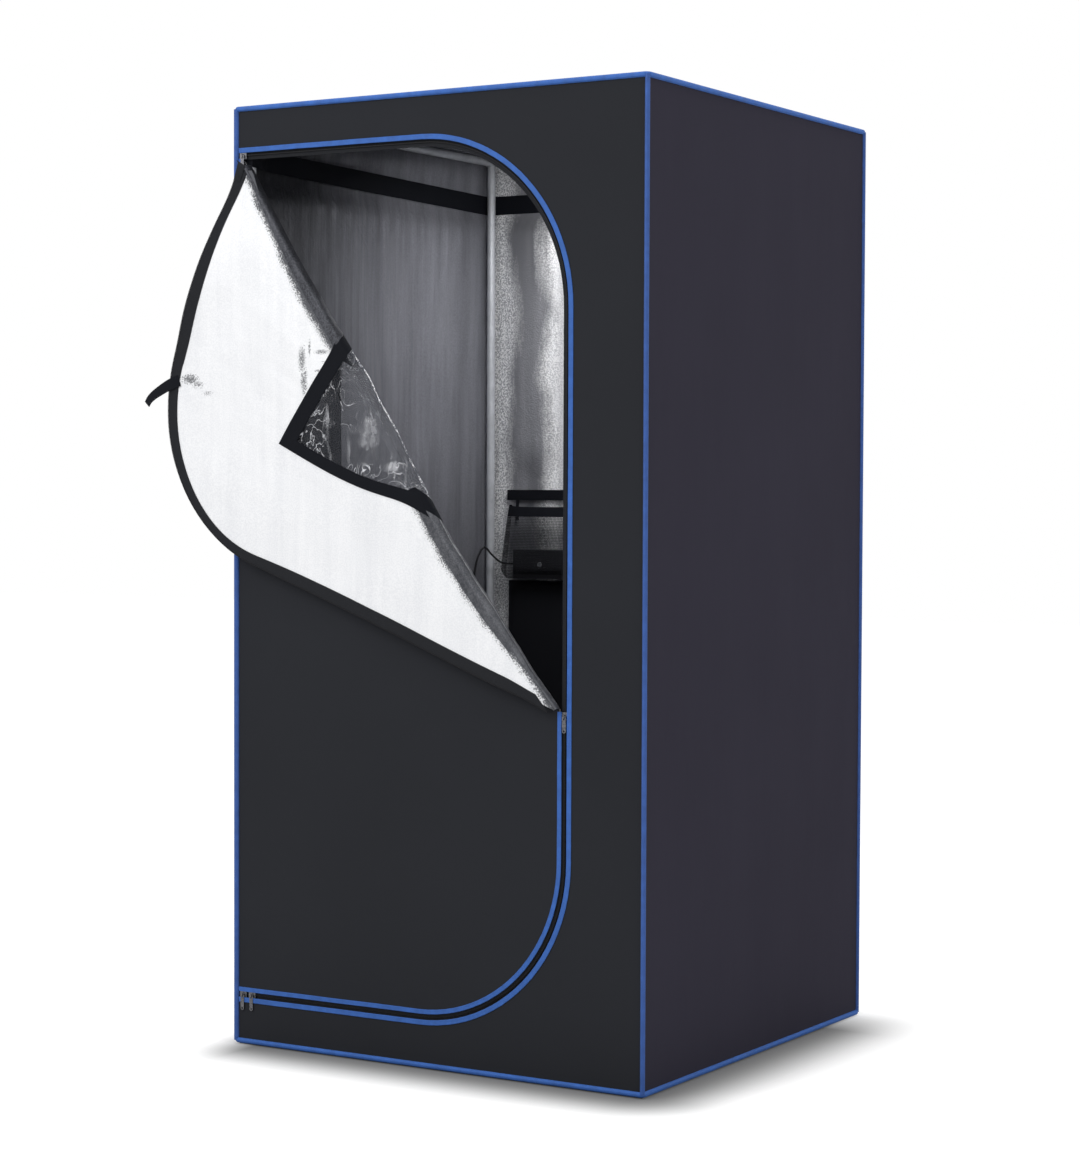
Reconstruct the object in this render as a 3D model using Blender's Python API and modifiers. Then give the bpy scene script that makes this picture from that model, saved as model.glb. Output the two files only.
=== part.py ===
"""Portable infrared sauna: a square cloth tent on a steel tube frame, with a D-shaped zipped door.

Metres, +Z up. The origin is the centre of the base on the floor, the door faces -Y.
The door is modelled part open: zipped up to the slider on the right, and its upper part folded
over forwards along a slanted fold from the top left corner to that slider.
"""

import math

import bmesh
import bpy
from mathutils import Matrix, Vector

# Tent
WIDTH = 0.800
DEPTH = 0.800
HEIGHT = 1.600
TOUCH = 0.0003
CLOTH = 0.0012
LINING = 0.0008
LAMINATE = CLOTH + TOUCH + LINING
FLOOR_MAT = 0.002
SEAM_RADIUS = 0.005
SEAM_SIDES = 8
SEAM_INSET = 0.0002
FLOOR_RING_LIFT = 0.0012
RING_STEPS = 4
RING_CORNER = 0.0055

# Doorway, measured to the centre line of its blue binding
DOOR_RIGHT_IN = 0.136
DOOR_BOTTOM = 0.077
DOOR_TOP_DROP = 0.070
DOOR_RADIUS = 0.285
ARC_STEPS = 12
BINDING_WIDTH = 0.010
BINDING_THICK = 0.0008
DOOR_BINDING_WIDTH = 0.009

# Zip: its chain runs halfway between the two bindings
ZIP_INSET = 0.009
COIL_GAP = 0.0016
COIL_WIDTH = 0.0021
COIL_THICK = 0.0024
COIL_LAP = 0.0005
TAPE_WIDTH = 0.018
TAPE_THICK = 0.0006
ZIP_START = 0.022

# Fold of the open door
FOLD_TOP_IN = 0.015
FOLD_TOP_DROP = 0.017
FOLD_RIGHT_IN = 0.017
FOLD_RADIUS = 0.007
ROLL_THICK = 0.002
ROLL_TAIL = 0.006
ROLL_STEPS = 8
ROLL_START = 0.030
ROLL_END_IN = 0.0190
TIP_DROP = 0.0205

# Window
WINDOW_WIDTH = 0.242
WINDOW_HEIGHT = 0.404
WINDOW_RIGHT_IN = 0.228
WINDOW_TOP_DROP = 0.266
WINDOW_BORDER = 0.025
BORDER_THICK = 0.0010
FILM_THICK = 0.0005
FILM_LAP = 0.010

# Tie strap at the door's free edge
STRAP_WIDTH = 0.020
STRAP_THICK = 0.0015
STRAP_TURN = 83.3
STRAP_INSET = 0.032
STRAP_HOLD = 0.016
STRAP_REACH = 0.055
STRAP_DROP = 0.033
STRAP_LEAN = 0.015

# Zip sliders
SLIDER_WIDTH = 0.012
SLIDER_LENGTH = 0.014
SLIDER_PLATE = 0.0010
SLIDER_RUN = 0.0003
SLIDER_RIM = 0.0010
SLIDER_SLOT = 0.0012
BRIDGE_WIDTH = 0.0010
BRIDGE_LENGTH = 0.0050
CROWN_WIDTH = 0.0016
CROWN_WALL = 0.0010
CROWN_EYE = 0.0035
CROWN_ROOM = 0.0035
PULL_LENGTH = 0.026
PULL_WIDTH = 0.007
PULL_THICK = 0.0009
PULL_BAR = 0.0012
PULL_EYE_WIDTH = 0.0024
PULL_EYE_LENGTH = 0.0044
PULL_HOLE_RADIUS = 0.0016
PULL_ROUND_STEPS = 4
PULL_EDGE_FORWARD = 0.0006
SIDE_SLIDER_DROP = 0.010
END_SLIDER_IN = 0.0135
BOTTOM_SLIDER_PITCH = 0.019

# Frame
TUBE_RADIUS = 0.008
TUBE_WALL = 0.0010
TUBE_SIDES = 16
SPIGOT_RUN = 0.0003
FRAME_IN = 0.018
JOINT_STUB = 0.016
JOINT_START = 0.004
JOINT_INSET = 0.0002
RAIL_SPIGOT = 0.045
POST_SPIGOT = 0.125
BUTTON_FROM_JOINT = 0.0350
BUTTON_PITCH = 0.080
BUTTON_RADIUS = 0.0025
BUTTON_PROUD = 0.0020
BUTTON_SIDES = 8

# Lining folds
LINING_LOW = 0.025
FOLD_DEPTH = 0.010
FOLD_PITCH = 0.088
FOLD_WANDER = 0.31
LINING_COLUMNS = 52
CORNER_EASE = 0.030
BAND_DROP = 0.107
BAND_WIDTH = 0.028
BAND_THICK = 0.0010
CRINKLE_DEPTH = 0.0025

# Heating panels
PANEL_SIDE_IN = 0.058
PANEL_TOP = 0.778
PANEL_BOTTOM = 0.200
PANEL_THICK = 0.010

# Strip and pocket on the back wall
STRIP_SIDE_IN = 0.053
STRIP_LOW = 0.934
STRIP_WIDTH = 0.020
STRIP_THICK = 0.0015
STRIP_TAB_WIDTH = 0.018
STRIP_TAB_END = 0.895
POCKET_IN = 0.144
POCKET_LOW = 0.781
POCKET_HEIGHT = 0.144
POCKET_WIDTH = 0.190
POCKET_TOP_WIDTH = 0.160
POCKET_DEPTH = 0.040
POCKET_WALL = 0.0010
PORT_RADIUS = 0.012
PORT_FORWARD = 0.006

# Controller
CASE_LENGTH = 0.120
CASE_HEIGHT = 0.056
CASE_DEPTH = 0.026
CASE_WALL = 0.0020
BOARD_THICK = 0.0016
KEY_RADIUS = 0.0047
KEY_RUN = 0.0003
KEY_FLANGE = 0.0013
KEY_FLANGE_THICK = 0.0012
KEY_PROUD = 0.0012
KEY_TRAVEL = 0.0010
KEY_SIDES = 16
GLAND_RADIUS = 0.0035
GLAND_LENGTH = 0.005

# Leads and outlet
LEAD_RADIUS = 0.002
LEAD_STEP = 0.010
LEAD_LIFT = 0.015
LEAD_SET_FORWARD = 0.053
BACK_LEAD_SIDE = 0.071
LEFT_LEAD_STEPS = ((-0.0557, -0.050, 0.0147), (-0.0467, -0.042, 0.0327), (-0.0407, -0.028, 0.0197))
LEFT_LEAD_STEPS += ((-0.0307, -0.008, 0.0027),)
BACK_LEAD_STEPS = ((0.068, -0.004, 0.0047), (0.057, -0.008, 0.0147), (0.043, -0.007, 0.0017))
RIGHT_LEAD_DROP = (-0.0133, 0.015, 0.030)
RIGHT_LEAD_CORNER = (-0.0383, 0.051, 0.022)
RIGHT_LEAD_ALONG = (0.091, -0.012, -0.012)
RIGHT_LEAD_TURN = (0.043, -0.008, 0.000)
OUTLET_IN = 0.100
OUTLET_Z = 0.105
OUTLET_RADIUS = 0.015
OUTLET_WALL = 0.002
OUTLET_FLANGE = 0.008
OUTLET_FLANGE_THICK = 0.002
OUTLET_DEPTH = 0.014
OUTLET_SIDES = 24

# One length that carries every cutter through what it cuts
OVERRUN = 0.010

# Shares
ROW_SHARES = (0, 0.24, 0.52, 0.78, 0.92)
WANDER_SHARE = 0.20
RIDGE_SHARE = 0.28
CORNER_DEPTH_SHARE = 0.55
FOLD_LOW_SHARE = 0.2752

# Faces that several pieces lie against
FRONT = -DEPTH / 2
LEFT = -WIDTH / 2
DOOR_RIGHT = WIDTH / 2 - DOOR_RIGHT_IN
DOOR_TOP = HEIGHT - DOOR_TOP_DROP
WINDOW_RIGHT = DOOR_RIGHT - WINDOW_RIGHT_IN
WINDOW_LEFT = WINDOW_RIGHT - WINDOW_WIDTH
WINDOW_TOP = DOOR_TOP - WINDOW_TOP_DROP
WINDOW_BOTTOM = WINDOW_TOP - WINDOW_HEIGHT
BAND_LOW = HEIGHT - BAND_DROP
POCKET_X = LEFT + POCKET_IN
OUTLET_X = WIDTH / 2 - OUTLET_IN
TRIM = SEAM_RADIUS + TOUCH
CLOTH_BACK = FRONT + CLOTH
LINING_FRONT = CLOTH_BACK + TOUCH
LINING_BACK = LINING_FRONT + LINING
ZIP_Y = LINING_BACK + TOUCH + TAPE_THICK / 2
DOOR_LEFT = LEFT + TRIM + TOUCH
FLOOR_RING_Z = FLOOR_RING_LIFT + SEAM_RADIUS
WALL_LOW = FLOOR_RING_Z + TRIM
WALL_HIGH = HEIGHT - TRIM
ROOF_UNDERSIDE = HEIGHT - LAMINATE
FRAME_X = WIDTH / 2 - FRAME_IN
FRAME_Y = DEPTH / 2 - FRAME_IN
FRAME_LOW = FLOOR_MAT + TOUCH + TUBE_RADIUS
FRAME_HIGH = ROOF_UNDERSIDE - TOUCH - TUBE_RADIUS
LINING_IN = CLOTH + TOUCH + LINING / 2
LINING_HIGH = WALL_HIGH
LINING_PHASE = {"left": 0.4, "back": 1.2, "right": 2.1}

# The slanted fold, as a line in the plane of the front wall
FOLD_TOP = Vector((LEFT + FOLD_TOP_IN, DOOR_TOP - FOLD_TOP_DROP))
STRAIGHT_LOW, STRAIGHT_HIGH = DOOR_BOTTOM + DOOR_RADIUS, DOOR_TOP - DOOR_RADIUS
FOLD_LOW_Z = STRAIGHT_LOW + FOLD_LOW_SHARE * (STRAIGHT_HIGH - STRAIGHT_LOW)
FOLD_LOW = Vector((DOOR_RIGHT - FOLD_RIGHT_IN, FOLD_LOW_Z))
FOLD_ALONG = (FOLD_LOW - FOLD_TOP).normalized()
FOLD_SIDE = Vector((FOLD_ALONG.y, -FOLD_ALONG.x))
FOLD_Y = FRONT - FOLD_RADIUS
TIP = FOLD_TOP + FOLD_ALONG * (TIP_DROP / -FOLD_ALONG.y)


def clear_scene():
    for old in list(bpy.data.objects):
        bpy.data.objects.remove(old, do_unlink=True)


def new_collection(name):
    found = bpy.data.collections.new(name)
    bpy.context.scene.collection.children.link(found)
    return found


def material(name, colour, roughness, metallic=0.0, alpha=1.0):
    made = bpy.data.materials.new(name)
    made.use_nodes = True
    shader = made.node_tree.nodes["Principled BSDF"]
    shader.inputs["Base Color"].default_value = (*colour, 1.0)
    shader.inputs["Roughness"].default_value = roughness
    shader.inputs["Metallic"].default_value = metallic
    shader.inputs["Alpha"].default_value = alpha
    return made


clear_scene()
PARTS = new_collection("portable_infrared_sauna")
CUTTERS = new_collection("cutters")

BLACK_CLOTH = ((0.026, 0.028, 0.032), 0.85)
BLUE_TAPE = ((0.045, 0.140, 0.480), 0.60)
SILVER_FILM = ((0.420, 0.425, 0.440), 0.35, 0.75)
WHITE_FILM = ((0.860, 0.865, 0.880), 0.45, 0.20)
BLACK_WEB = ((0.012, 0.013, 0.016), 0.80)
CLEAR_FILM = ((0.800, 0.820, 0.840), 0.08, 0.0, 0.30)
STEEL = ((0.240, 0.255, 0.270), 0.40, 0.80)
NICKEL = ((0.330, 0.340, 0.355), 0.25, 1.0)
PANEL_CLOTH = ((0.008, 0.009, 0.012), 0.75)
MESH_CLOTH = ((0.030, 0.031, 0.035), 0.80)
CASE_PLASTIC = ((0.016, 0.017, 0.020), 0.40)
KEY_PLASTIC = ((0.300, 0.310, 0.330), 0.45)
BOARD_GREEN = ((0.020, 0.120, 0.050), 0.50)
CABLE_BLACK = ((0.012, 0.012, 0.014), 0.50)
MAT_CLOTH = ((0.030, 0.032, 0.036), 0.80)


def add(name, mesh, look, parent=None):
    """Puts a mesh in the model under its own name, with a material of its own."""
    obj = bpy.data.objects.new(name, mesh)
    PARTS.objects.link(obj)
    mesh.materials.clear()
    mesh.materials.append(material(name, *look))
    if parent is not None:
        obj.parent = parent
        obj.location = -parent.location
    return obj


def shade_round(mesh, degrees=35):
    mesh.shade_smooth()
    mesh.set_sharp_from_angle(angle=math.radians(degrees))
    return mesh


def scratch(mesh):
    obj = bpy.data.objects.new("scratch", mesh)
    bpy.context.scene.collection.objects.link(obj)
    return obj


def baked(obj):
    """The evaluated mesh of a scratch object in world space, with the object removed."""
    bpy.context.view_layer.update()
    graph = bpy.context.evaluated_depsgraph_get()
    mesh = bpy.data.meshes.new_from_object(obj.evaluated_get(graph), depsgraph=graph)
    mesh.transform(obj.matrix_world)
    bpy.data.objects.remove(obj, do_unlink=True)
    return mesh


def welded(mesh, distance=TOUCH / 30):
    shape = bmesh.new()
    shape.from_mesh(mesh)
    bmesh.ops.remove_doubles(shape, verts=shape.verts, dist=distance)
    bmesh.ops.recalc_face_normals(shape, faces=shape.faces)
    shape.to_mesh(mesh)
    shape.free()
    return mesh


def box_mesh(low, high):
    low, high = Vector(low), Vector(high)
    shape = bmesh.new()
    bmesh.ops.create_cube(shape, size=1.0)
    size = high - low
    place = Matrix.Translation((low + high) / 2) @ Matrix.Diagonal((*size, 1.0))
    bmesh.ops.transform(shape, matrix=place, verts=shape.verts)
    mesh = bpy.data.meshes.new("box")
    shape.to_mesh(mesh)
    shape.free()
    return mesh


def outline_mesh(outlines, depth, place):
    """A flat outline, with any holes after it, made solid: depth thick, half each side of its plane."""
    curve = bpy.data.curves.new("outline", "CURVE")
    curve.dimensions = "2D"
    curve.fill_mode = "BOTH"
    curve.extrude = depth / 2
    for points in outlines:
        spline = curve.splines.new("POLY")
        spline.points.add(len(points) - 1)
        for spot, (u, v) in zip(spline.points, points):
            spot.co = (u, v, 0.0, 1.0)
        spline.use_cyclic_u = True
    obj = bpy.data.objects.new("outline", curve)
    bpy.context.scene.collection.objects.link(obj)
    obj.matrix_world = place
    return welded(baked(obj))


def sheet_mesh(outlines, front, thick):
    """An outline in (x, z) as a sheet whose outer face is at y = front and which goes back by thick."""
    upright = Matrix.Rotation(math.radians(90), 4, "X")
    return outline_mesh(outlines, thick, Matrix.Translation((0, front + thick / 2, 0)) @ upright)


def turned_mesh(profile, sides, place=Matrix.Identity(4)):
    """A profile of (radius, height) points, outer side downwards, turned about Z into a solid or a ring."""
    mesh = bpy.data.meshes.new("profile")
    points = [(radius, 0.0, height) for radius, height in profile]
    count = len(points)
    edges = [(i, i + 1) for i in range(count - 1)]
    if profile[0][0] > 0:
        edges.append((count - 1, 0))
    mesh.from_pydata(points, edges, [])
    obj = scratch(mesh)
    screw = obj.modifiers.new("turn", "SCREW")
    screw.steps = sides
    screw.render_steps = sides
    screw.use_merge_vertices = True
    screw.merge_threshold = TOUCH / 10
    obj.matrix_world = place
    return welded(baked(obj))


def rod_mesh(radius, length, sides, place=Matrix.Identity(4)):
    """A round rod from the place's origin along its +Z."""
    shape = bmesh.new()
    bmesh.ops.create_cone(
        shape, cap_ends=True, segments=sides, radius1=radius, radius2=radius, depth=length
    )
    bmesh.ops.translate(shape, vec=(0, 0, length / 2), verts=shape.verts)
    bmesh.ops.transform(shape, matrix=place, verts=shape.verts)
    mesh = bpy.data.meshes.new("rod")
    shape.to_mesh(mesh)
    shape.free()
    return mesh


def tube_mesh(points, radius, cyclic=False, resolution=2):
    """A round tube along points, its ends filled."""
    curve = bpy.data.curves.new("tube", "CURVE")
    curve.dimensions = "3D"
    curve.bevel_depth = radius
    curve.bevel_resolution = resolution
    curve.use_fill_caps = not cyclic
    spline = curve.splines.new("POLY")
    spline.points.add(len(points) - 1)
    for spot, point in zip(spline.points, points):
        spot.co = (*point, 1.0)
    spline.use_cyclic_u = cyclic
    obj = bpy.data.objects.new("tube", curve)
    bpy.context.scene.collection.objects.link(obj)
    return welded(baked(obj))


def moved_mesh(mesh, place):
    copy = mesh.copy()
    copy.transform(place)
    if place.determinant() < 0:
        copy.flip_normals()
    return copy


def combined(base, others, operation):
    """The base mesh joined with, or cut by, the others."""
    obj = scratch(base)
    helpers = []
    for number, other in enumerate(others):
        helper = bpy.data.objects.new(f"cutter_{number}", other)
        helper.hide_render = True
        helper.display_type = "WIRE"
        CUTTERS.objects.link(helper)
        helpers.append(helper)
        change = obj.modifiers.new(helper.name, "BOOLEAN")
        change.operation = operation
        change.solver = "EXACT"
        change.object = helper
    mesh = baked(obj)
    for helper in helpers:
        bpy.data.objects.remove(helper, do_unlink=True)
    return welded(mesh)


def joined(meshes):
    return combined(meshes[0], meshes[1:], "UNION")


# Paths of the doorway


def arc(centre_x, centre_z, radius, start, end):
    for step in range(ARC_STEPS + 1):
        angle = math.radians(start + (end - start) * step / ARC_STEPS)
        yield (centre_x + radius * math.cos(angle), centre_z + radius * math.sin(angle))


def fold_z(x):
    return FOLD_TOP.y + (x - FOLD_TOP.x) * FOLD_ALONG.y / FOLD_ALONG.x


def tip_x(z):
    """Where the folded part ends at the top left: a line that lies level once it is folded over."""
    lean = Vector((2 * FOLD_ALONG.x * FOLD_ALONG.x - 1, 2 * FOLD_ALONG.x * FOLD_ALONG.y))
    return TIP.x + (z - TIP.y) * lean.x / lean.y


def low_path(inset, end=None):
    """The doorway's outline moved inwards: bottom left, along the bottom and up the right side."""
    radius = DOOR_RADIUS - inset
    centre_x = DOOR_RIGHT - DOOR_RADIUS
    yield (DOOR_LEFT, DOOR_BOTTOM + inset)
    yield from arc(centre_x, DOOR_BOTTOM + DOOR_RADIUS, radius, -90, 0)
    if end is not None:
        yield (DOOR_RIGHT - inset, end)


def high_path(inset, start=None, left=None):
    """The rest of it: up the right side, round the top corner and back along the top."""
    radius = DOOR_RADIUS - inset
    centre_x = DOOR_RIGHT - DOOR_RADIUS
    if start is not None:
        yield (DOOR_RIGHT - inset, start)
    yield from arc(centre_x, DOOR_TOP - DOOR_RADIUS, radius, 0, 90)
    yield (DOOR_LEFT if left is None else left, DOOR_TOP - inset)


def whole_path(inset):
    return [*low_path(inset), *high_path(inset)]


def fixed_ribbon(outer, inner, front, thick):
    """A band that follows the whole doorway, between two insets."""
    outline = whole_path(outer) + whole_path(inner)[::-1]
    return sheet_mesh([outline], front, thick)


def panel_ribbon(outer, inner, front, thick):
    """A band along the zipped part of the door, up to the fold."""
    edges = [list(low_path(inset, fold_z(DOOR_RIGHT - inset) - TOUCH)) for inset in (outer, inner)]
    return sheet_mesh([edges[0] + edges[1][::-1]], front, thick)


def flap_ribbon(outer, inner, front, thick, rise=0.0):
    """A band along the folded part of the door, drawn with the door closed."""
    edges = []
    for inset in (outer, inner):
        start = fold_z(DOOR_RIGHT - inset) + rise
        edges.append(list(high_path(inset, start, tip_x(DOOR_TOP - inset))))
    return sheet_mesh([edges[0] + edges[1][::-1]], front, thick)


def window_part(grow, above):
    """The window's rectangle, grown, on one side of the fold: from its left crossing to its right one."""
    left, right = WINDOW_LEFT - grow, WINDOW_RIGHT + grow
    low, high = WINDOW_BOTTOM - grow, WINDOW_TOP + grow
    corners = [Vector(p) for p in ((left, low), (left, high), (right, high), (right, low))]
    shift = FOLD_TOP + FOLD_SIDE * (0.0 if above else TOUCH)
    kept = []
    for here, after in zip(corners, corners[1:] + corners[:1]):
        side_here = (here - shift).dot(FOLD_SIDE)
        side_after = (after - shift).dot(FOLD_SIDE)
        if (side_here < 0) == above:
            kept.append((here, False))
        if (side_here < 0) != (side_after < 0):
            share = side_here / (side_here - side_after)
            kept.append((here.lerp(after, share), True))
    while not (kept[0][1] and kept[-1][1]):
        kept.append(kept.pop(0))
    path = [point for point, _ in kept]
    return path if path[0].x < path[-1].x else path[::-1]


def door_outline(inset, above, window_grow):
    """The door cloth on one side of the fold, with the window cut out of it."""
    window = [tuple(point) for point in window_part(window_grow, above)]
    if above:
        edge = list(high_path(inset, fold_z(DOOR_RIGHT - inset), tip_x(DOOR_TOP - inset)))
        return [tuple(TIP)] + window + edge
    top = DOOR_TOP - inset
    left = FOLD_TOP.x + (top - FOLD_TOP.y) * FOLD_ALONG.x / FOLD_ALONG.y
    edge = list(low_path(inset, fold_z(DOOR_RIGHT - inset) - TOUCH))
    return [(DOOR_LEFT, top), (left - TOUCH, top)] + window + edge[::-1]


def window_ring(outer_grow, inner_grow, above):
    outer = window_part(outer_grow, above)
    inner = window_part(inner_grow, above)
    return [tuple(point) for point in outer + inner[::-1]]


def mirrored(x, z):
    """A point of the folded part, moved to where it is with the door closed."""
    away = Vector((x, z)) - FOLD_TOP
    found = FOLD_TOP + FOLD_ALONG * away.dot(FOLD_ALONG) - FOLD_SIDE * away.dot(FOLD_SIDE)
    return tuple(found)


# Cover


def build_cover():
    x, y = WIDTH / 2, DEPTH / 2
    opening = whole_path(0.0)
    opening[0] = (LEFT + TRIM, DOOR_BOTTOM)
    opening[-1] = (LEFT + TRIM, DOOR_TOP)
    corners = [(-x + TRIM, WALL_LOW), (x - TRIM, WALL_LOW), (x - TRIM, WALL_HIGH), (-x + TRIM, WALL_HIGH)]
    outline = corners + opening[::-1]
    add("cover_front", sheet_mesh([outline], FRONT, LAMINATE), BLACK_CLOTH)
    side = (y - TRIM, WALL_LOW, WALL_HIGH)
    add("cover_left", box_mesh((-x, -side[0], side[1]), (-x + CLOTH, side[0], side[2])), BLACK_CLOTH)
    add("cover_right", box_mesh((x - CLOTH, -side[0], side[1]), (x, side[0], side[2])), BLACK_CLOTH)
    back = box_mesh((-x + TRIM, y - CLOTH, WALL_LOW), (x - TRIM, y, WALL_HIGH))
    add("cover_back", combined(back, [outlet_cutter()], "DIFFERENCE"), BLACK_CLOTH)
    roof = box_mesh((-x + TRIM, -y + TRIM, ROOF_UNDERSIDE), (x - TRIM, y - TRIM, HEIGHT))
    add("cover_roof", roof, BLACK_CLOTH)
    mat = box_mesh((-x + TRIM, -y + TRIM, 0), (x - TRIM, y - TRIM, FLOOR_MAT))
    add("cover_floor", mat, MAT_CLOTH)


def outlet_cutter():
    radius = OUTLET_RADIUS + OUTLET_WALL + TOUCH
    reach = OUTLET_DEPTH + 2 * OVERRUN
    place = Matrix.Translation((OUTLET_X, DEPTH / 2 + OVERRUN, OUTLET_Z)) @ Matrix.Rotation(
        math.radians(90), 4, "X"
    )
    return rod_mesh(radius, reach, OUTLET_SIDES, place)


def ring_points(z):
    x, y = WIDTH / 2 - RING_CORNER, DEPTH / 2 - RING_CORNER
    points = []
    for quarter, (sx, sy) in enumerate(((1, 1), (-1, 1), (-1, -1), (1, -1))):
        for step in range(RING_STEPS + 1):
            angle = math.radians(90 * (quarter + step / RING_STEPS))
            points.append(
                (sx * x + RING_CORNER * math.cos(angle), sy * y + RING_CORNER * math.sin(angle), z)
            )
    return points


def build_bindings():
    tapes = [tube_mesh(ring_points(z), SEAM_RADIUS, cyclic=True) for z in (FLOOR_RING_Z, HEIGHT)]
    for sx in (-1, 1):
        for sy in (-1, 1):
            foot = Matrix.Translation((sx * WIDTH / 2, sy * DEPTH / 2, FLOOR_RING_Z))
            tapes.append(rod_mesh(SEAM_RADIUS - SEAM_INSET, HEIGHT - FLOOR_RING_Z, SEAM_SIDES, foot))
    add("edge_binding", shade_round(joined(tapes)), BLUE_TAPE)
    trim_front = FRONT - TOUCH - BINDING_THICK
    half = BINDING_WIDTH / 2
    add("doorway_binding", fixed_ribbon(-half, half, trim_front, BINDING_THICK), BLUE_TAPE)


# Lining


def fold_depth(along, z, half, phase):
    """How far the lining stands off the wall: soft upright folds, drawn flat under the band."""
    wander = WANDER_SHARE * math.sin(2 * math.pi * along / FOLD_WANDER + phase)
    turn = 2 * math.pi * (along / FOLD_PITCH + wander) + phase
    wave = 0.5 + 0.5 * math.sin(turn)
    wave = (1 - RIDGE_SHARE) * wave + RIDGE_SHARE * (0.5 + 0.5 * math.sin(2 * turn + phase))
    ease = min(1.0, (half - abs(along)) / CORNER_EASE)
    middle = math.cos(math.pi * along / (2 * half)) ** 2
    side = ease * (CORNER_DEPTH_SHARE + (1 - CORNER_DEPTH_SHARE) * middle)
    band_high = BAND_LOW + BAND_WIDTH
    if z >= band_high - TOUCH:
        return side * wave * CRINKLE_DEPTH * (z > band_high + TOUCH)
    if z > BAND_LOW - TOUCH:
        return 0.0
    return side * wave * FOLD_DEPTH


def wall_places():
    """Each wall's place: X along it, +Y into the cabin, from the wall's outer face."""
    turn = Matrix.Rotation(math.radians(-90), 4, "Z")
    return {
        "left": Matrix.Translation((LEFT, 0, 0)) @ turn,
        "back": Matrix.Translation((0, -FRONT, 0)) @ Matrix.Rotation(math.radians(180), 4, "Z"),
        "right": Matrix.Translation((-LEFT, 0, 0)) @ turn.inverted(),
    }


def wall_crest(wall):
    """How far into the cabin the lining's highest fold reaches, with a sewing gap."""
    half = (DEPTH if wall != "back" else WIDTH) / 2 - TRIM
    columns = [half * (2 * step / LINING_COLUMNS - 1) for step in range(LINING_COLUMNS + 1)]
    reach = max(fold_depth(along, LINING_LOW, half, LINING_PHASE[wall]) for along in columns)
    return LINING_IN + LINING / 2 + reach + TOUCH


def build_wall_lining(wall, place, cutter=None):
    """A gathered sheet in the place's (X along, Z up) plane, standing off towards its +Y."""
    half = (DEPTH if wall != "back" else WIDTH) / 2 - TRIM
    phase = LINING_PHASE[wall]
    hang = BAND_LOW - LINING_LOW
    band_high = BAND_LOW + BAND_WIDTH
    levels = [LINING_LOW + share * hang for share in ROW_SHARES] + [BAND_LOW, band_high]
    levels += [(band_high + LINING_HIGH) / 2, LINING_HIGH]
    shape = bmesh.new()
    bmesh.ops.create_grid(
        shape, x_segments=LINING_COLUMNS, y_segments=len(levels) - 1, size=1.0
    )
    for vert in shape.verts:
        along = vert.co.x * half
        z = levels[round((vert.co.y + 1) / 2 * (len(levels) - 1))]
        vert.co = (along, LINING_IN + fold_depth(along, z, half, phase), z)
    mesh = bpy.data.meshes.new("lining")
    shape.to_mesh(mesh)
    shape.free()
    obj = scratch(mesh)
    skin = obj.modifiers.new("thickness", "SOLIDIFY")
    skin.thickness = LINING
    skin.offset = 0.0
    skin.use_even_offset = True
    mesh = baked(obj)
    mesh.transform(place)
    mesh = welded(mesh)
    if cutter is not None:
        mesh = combined(mesh, [cutter], "DIFFERENCE")
    add(f"lining_{wall}", shade_round(mesh, 60), SILVER_FILM)


def build_lining():
    for wall, place in wall_places().items():
        build_wall_lining(wall, place, outlet_cutter() if wall == "back" else None)
    outer = CLOTH + TOUCH + LINING + TOUCH
    x, y = WIDTH / 2 - outer, DEPTH / 2 - outer
    front = FRONT + outer + TRIM
    thick, cut = BAND_THICK, SEAM_RADIUS
    inner_x, inner_y, inner_cut = x - thick, y - thick, cut - thick / 2
    loop = [(-x, front), (-inner_x, front), (-inner_x, inner_y - inner_cut), (-inner_x + inner_cut, inner_y)]
    loop += [(inner_x - inner_cut, inner_y), (inner_x, inner_y - inner_cut), (inner_x, front), (x, front)]
    loop += [(x, y - cut), (x - cut, y), (-x + cut, y), (-x, y - cut)]
    place = Matrix.Translation((0, 0, BAND_LOW + BAND_WIDTH / 2))
    add("lining_band", outline_mesh([loop], BAND_WIDTH, place), BLACK_WEB)


# Frame


def tube_profile(low, high):
    inner = TUBE_RADIUS - TUBE_WALL
    return [(TUBE_RADIUS, high), (TUBE_RADIUS, low), (inner, low), (inner, high)]


def joint_arm(spigot_length):
    spigot = TUBE_RADIUS - TUBE_WALL - SPIGOT_RUN
    stub = TUBE_RADIUS - JOINT_INSET
    end = JOINT_STUB + spigot_length
    profile = [(0, end), (spigot, end), (spigot, JOINT_STUB), (stub, JOINT_STUB)]
    profile += [(stub, JOINT_START), (0, JOINT_START)]
    return turned_mesh(profile, TUBE_SIDES)


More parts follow.
